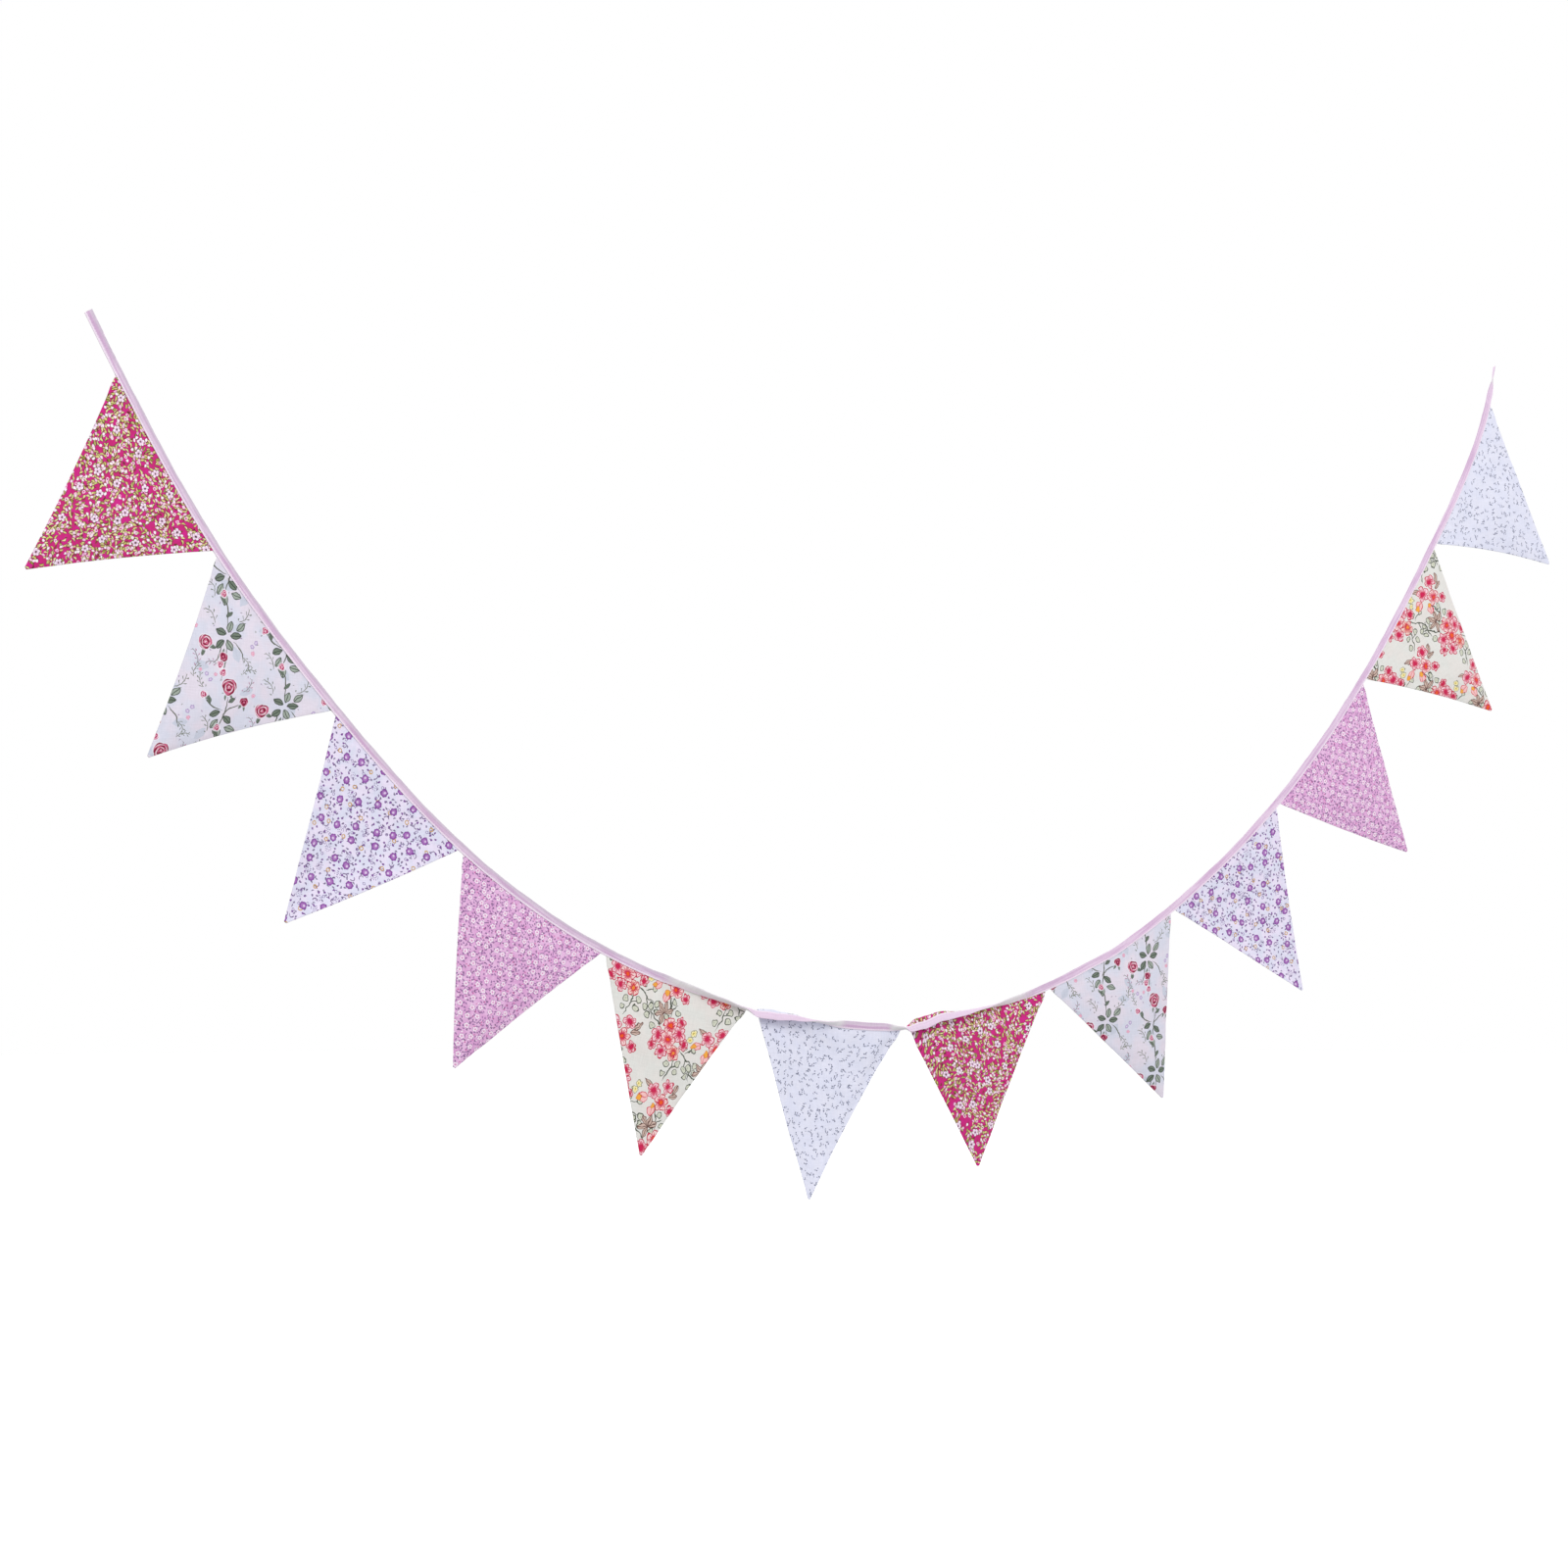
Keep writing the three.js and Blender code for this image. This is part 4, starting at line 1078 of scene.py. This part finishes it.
BLOSSOM_SPRAYS = [
    (leaf, SPRIG, {"Length": 28.0, "Width": 1.4, "Bend": 2.0},
     [(25, -15, -38), (54, -22, 100), (61, 28, 70), (-20, 18, 140)]),
    (leaf, SPRIG, {"Length": 12.0, "Width": 1.1, "Bend": -1.0},
     [(29, -10, 20), (24, -21, -80), (60, -26, 40), (67, 30, 20), (-24, 23, 90)]),
    (flower, ROUND_LEAF, SPRIG_LEAF, [
        (22, -6, 0), (34, -8, 70), (38, -23, 20), (24, -28, 140), (31, -27, 40), (48, -16, 10),
        (60, -19, 80), (50, -28, 30), (65, -29, 0), (52, -35, 90), (55, 23, 15), (70, 25, 60),
        (58, 33, 0), (72, 34, 100), (65, 40, 45), (-22, 12, 0), (-30, 22, 50), (-19, 26, 100),
        (-26, 31, 20),
    ]),
    (flower, YELLOW_BLOOM, {"Radius": 3.3, "Notch": 0.35, "Line width": 0.6}, [(27, 3, 0), (31, 9, 40)]),
    (leaf, STAR_LEAF, STAR,
     [(-3, 28, 20), (-7, 32, 75), (-13, 31, 130), (-15, 25, 185), (-11, 20, 250), (74, 1, 10),
      (76, 8, 60), (42, 12, 150)]),
    (leaf, BELL, {"Length": 11.0, "Width": 8.0, "Line width": 0.9, "Vein": 0.7},
     [(-8, 42, 80), (37, -3, 200)]),
    (leaf, CAP, {"Length": 6.6, "Width": 4.4, "Line width": 0.6}, [(-7, 46, 90), (33, -4, 190)]),
    (flower, PINK_HEART, {"Radius": 5.0, **BLOSSOM},
     [(20, -3, 0), (-19, -6, 30), (14, 19, 10), (72, -14, 40)]),
    (flower, PINK_HEART, {"Radius": 7.6, **BLOSSOM}, [(-13, 4, 10), (13, 7, 40), (49, 5, 0)]),
    (flower, YELLOW_HEART, {"Radius": 7.4, **BLOSSOM}, [(8, -12, 25)]),
    (flower, PINK_HEART, {"Radius": 6.6, **BLOSSOM}, [(-7, -12, 50), (66, 10, 30)]),
    (flower, ORANGE_HEART, {"Radius": 8.2, **BLOSSOM}, [(1, 14, 15), (60, -6, 10)]),
    (flower, ORANGE_HEART, {"Radius": 8.6, **BLOSSOM}, [(0, 0, 0)]),
]
inked = chart(tree, inked, drawn, BLOSSOM_REPEAT, BLOSSOM_SPRAYS)
woven_cotton(blossom_cotton, place, inked)
pennant_cloth(5, blossom_cotton, -8, (4, 54))
pennant_cloth(11, blossom_cotton, 20, (180, 61))

# Sixth and twelfth pennants: cool white cotton scattered with little slate-grey commas, dots and
# arcs in twos and threes.
sprig_cotton, place = start_cotton("Slate-sprigged white cotton")
tree = sprig_cotton.node_tree
drawn = hand_drawn(tree, place, 0.5, 3.0)
inked = clouded(tree, place, "e2e4f6", "e6e7f7", 18.0)
inked = toss(
    tree, inked, drawn, 8.2, 21.0, leaf, one_ink("878aa0"),
    {"Length": 2.5, "Width": 1.2, "Bend": 0.45}, kept=0.75, second_ink=("Ink", "6f7288"),
)
inked = toss(
    tree, inked, drawn, 8.2, 21.0, ring_mark, {"Ink": "868aa2"}, {"Radius": 0.0, "Line width": 1.4},
    kept=0.6, beside=(0.6, 2.1, 0),
)
inked = toss(
    tree, inked, drawn, 8.2, 21.0, leaf, one_ink("a9adc5"),
    {"Length": 2.4, "Width": 1.2, "Bend": -0.4}, kept=0.75, beside=(-2.0, -1.5, 0),
)
inked = toss(
    tree, inked, drawn, 9.8, 109.0, ring_mark, {"Ink": "80849b"},
    {"Radius": 1.1, "Line width": 0.8, "Open": -0.3}, grid=1.5, kept=0.75,
)
inked = toss(
    tree, inked, drawn, 9.8, 109.0, leaf, one_ink("6d7087"),
    {"Length": 2.4, "Width": 1.2, "Bend": -0.45, "Fullness": 0.4}, grid=1.5, kept=0.6, beside=(2.3, 1.1, 0),
)
woven_cotton(sprig_cotton, place, inked)
pennant_cloth(6, sprig_cotton, -6, (19, 33))
pennant_cloth(12, sprig_cotton, 52, (250, 43))

# Studio: a white floor well below the points, a white surround and broad soft lamps.
# The floor glows by itself and casts nothing back, as an evenly lit sweep does.
FLOOR_LEVEL = -1.3
FLOOR_RADIUS = 9.0
FLOOR_SIDES = 96
centre = (cad_low + cad_high) / 2
turns = np.linspace(0, 2 * np.pi, FLOOR_SIDES, endpoint=False)
floor_rim = [(centre.x + FLOOR_RADIUS * np.cos(t), FLOOR_RADIUS * np.sin(t), FLOOR_LEVEL) for t in turns]
floor_mesh = bpy.data.meshes.new("studio_floor")
floor_mesh.from_pydata(floor_rim, [], [list(range(FLOOR_SIDES))])
floor = bpy.data.objects.new("studio_floor", floor_mesh)
bpy.context.scene.collection.objects.link(floor)
floor_paint = bpy.data.materials.new("White studio paint")
floor_paint.use_nodes = True
floor_face = floor_paint.node_tree.nodes["Principled BSDF"]
floor_face.inputs["Base Color"].default_value = colour("f8f8f8")
floor_face.inputs["Roughness"].default_value = 1.0
floor_face.inputs["Emission Color"].default_value = WHITE
floor_face.inputs["Emission Strength"].default_value = 0.6
floor.data.materials.append(floor_paint)
floor.visible_diffuse = False
floor.visible_glossy = False

SURROUND_LIGHT = 0.62
SURROUND_SEEN = 1.0
surround = bpy.data.worlds.new("white surround")
surround.use_nodes = True
tree = surround.node_tree
seen = add(tree, "ShaderNodeLightPath").outputs["Is Camera Ray"]
strength = add(tree, RANGE, [seen, 0.0, 1.0, SURROUND_LIGHT, SURROUND_SEEN])
tree.nodes["Background"].inputs["Color"].default_value = WHITE
tree.links.new(strength.outputs[0], tree.nodes["Background"].inputs["Strength"])
bpy.context.scene.world = surround

# Each lamp: place in m, width in m and power in W.
LAMPS = {
    "key lamp": ((-1.4, -3.0, 2.0), 2.0, 72),
    "fill lamp": ((3.2, -2.8, 0.6), 2.6, 36),
    "back lamp": ((0.9, 3.2, 1.6), 2.6, 76),
}
for name, (place, width, power) in LAMPS.items():
    light = bpy.data.lights.new(name, "AREA")
    light.size = width
    light.energy = power
    lamp = bpy.data.objects.new(name, light)
    lamp.location = place
    lamp.rotation_euler = (centre - lamp.location).to_track_quat("-Z", "Y").to_euler()
    bpy.context.scene.collection.objects.link(lamp)

# Camera: level with the middle of the swag, off to its left, with a long lens.
camera_data = bpy.data.cameras.new("camera")
camera_data.lens = 89.28
camera_data.sensor_width = 36
camera = bpy.data.objects.new("camera", camera_data)
camera.location = (-1.4289, -3.2011, -0.42)
camera.rotation_euler = np.radians((90, 0, -34.2))
bpy.context.scene.collection.objects.link(camera)
bpy.context.scene.camera = camera
bpy.context.scene.view_settings.view_transform = "Standard"
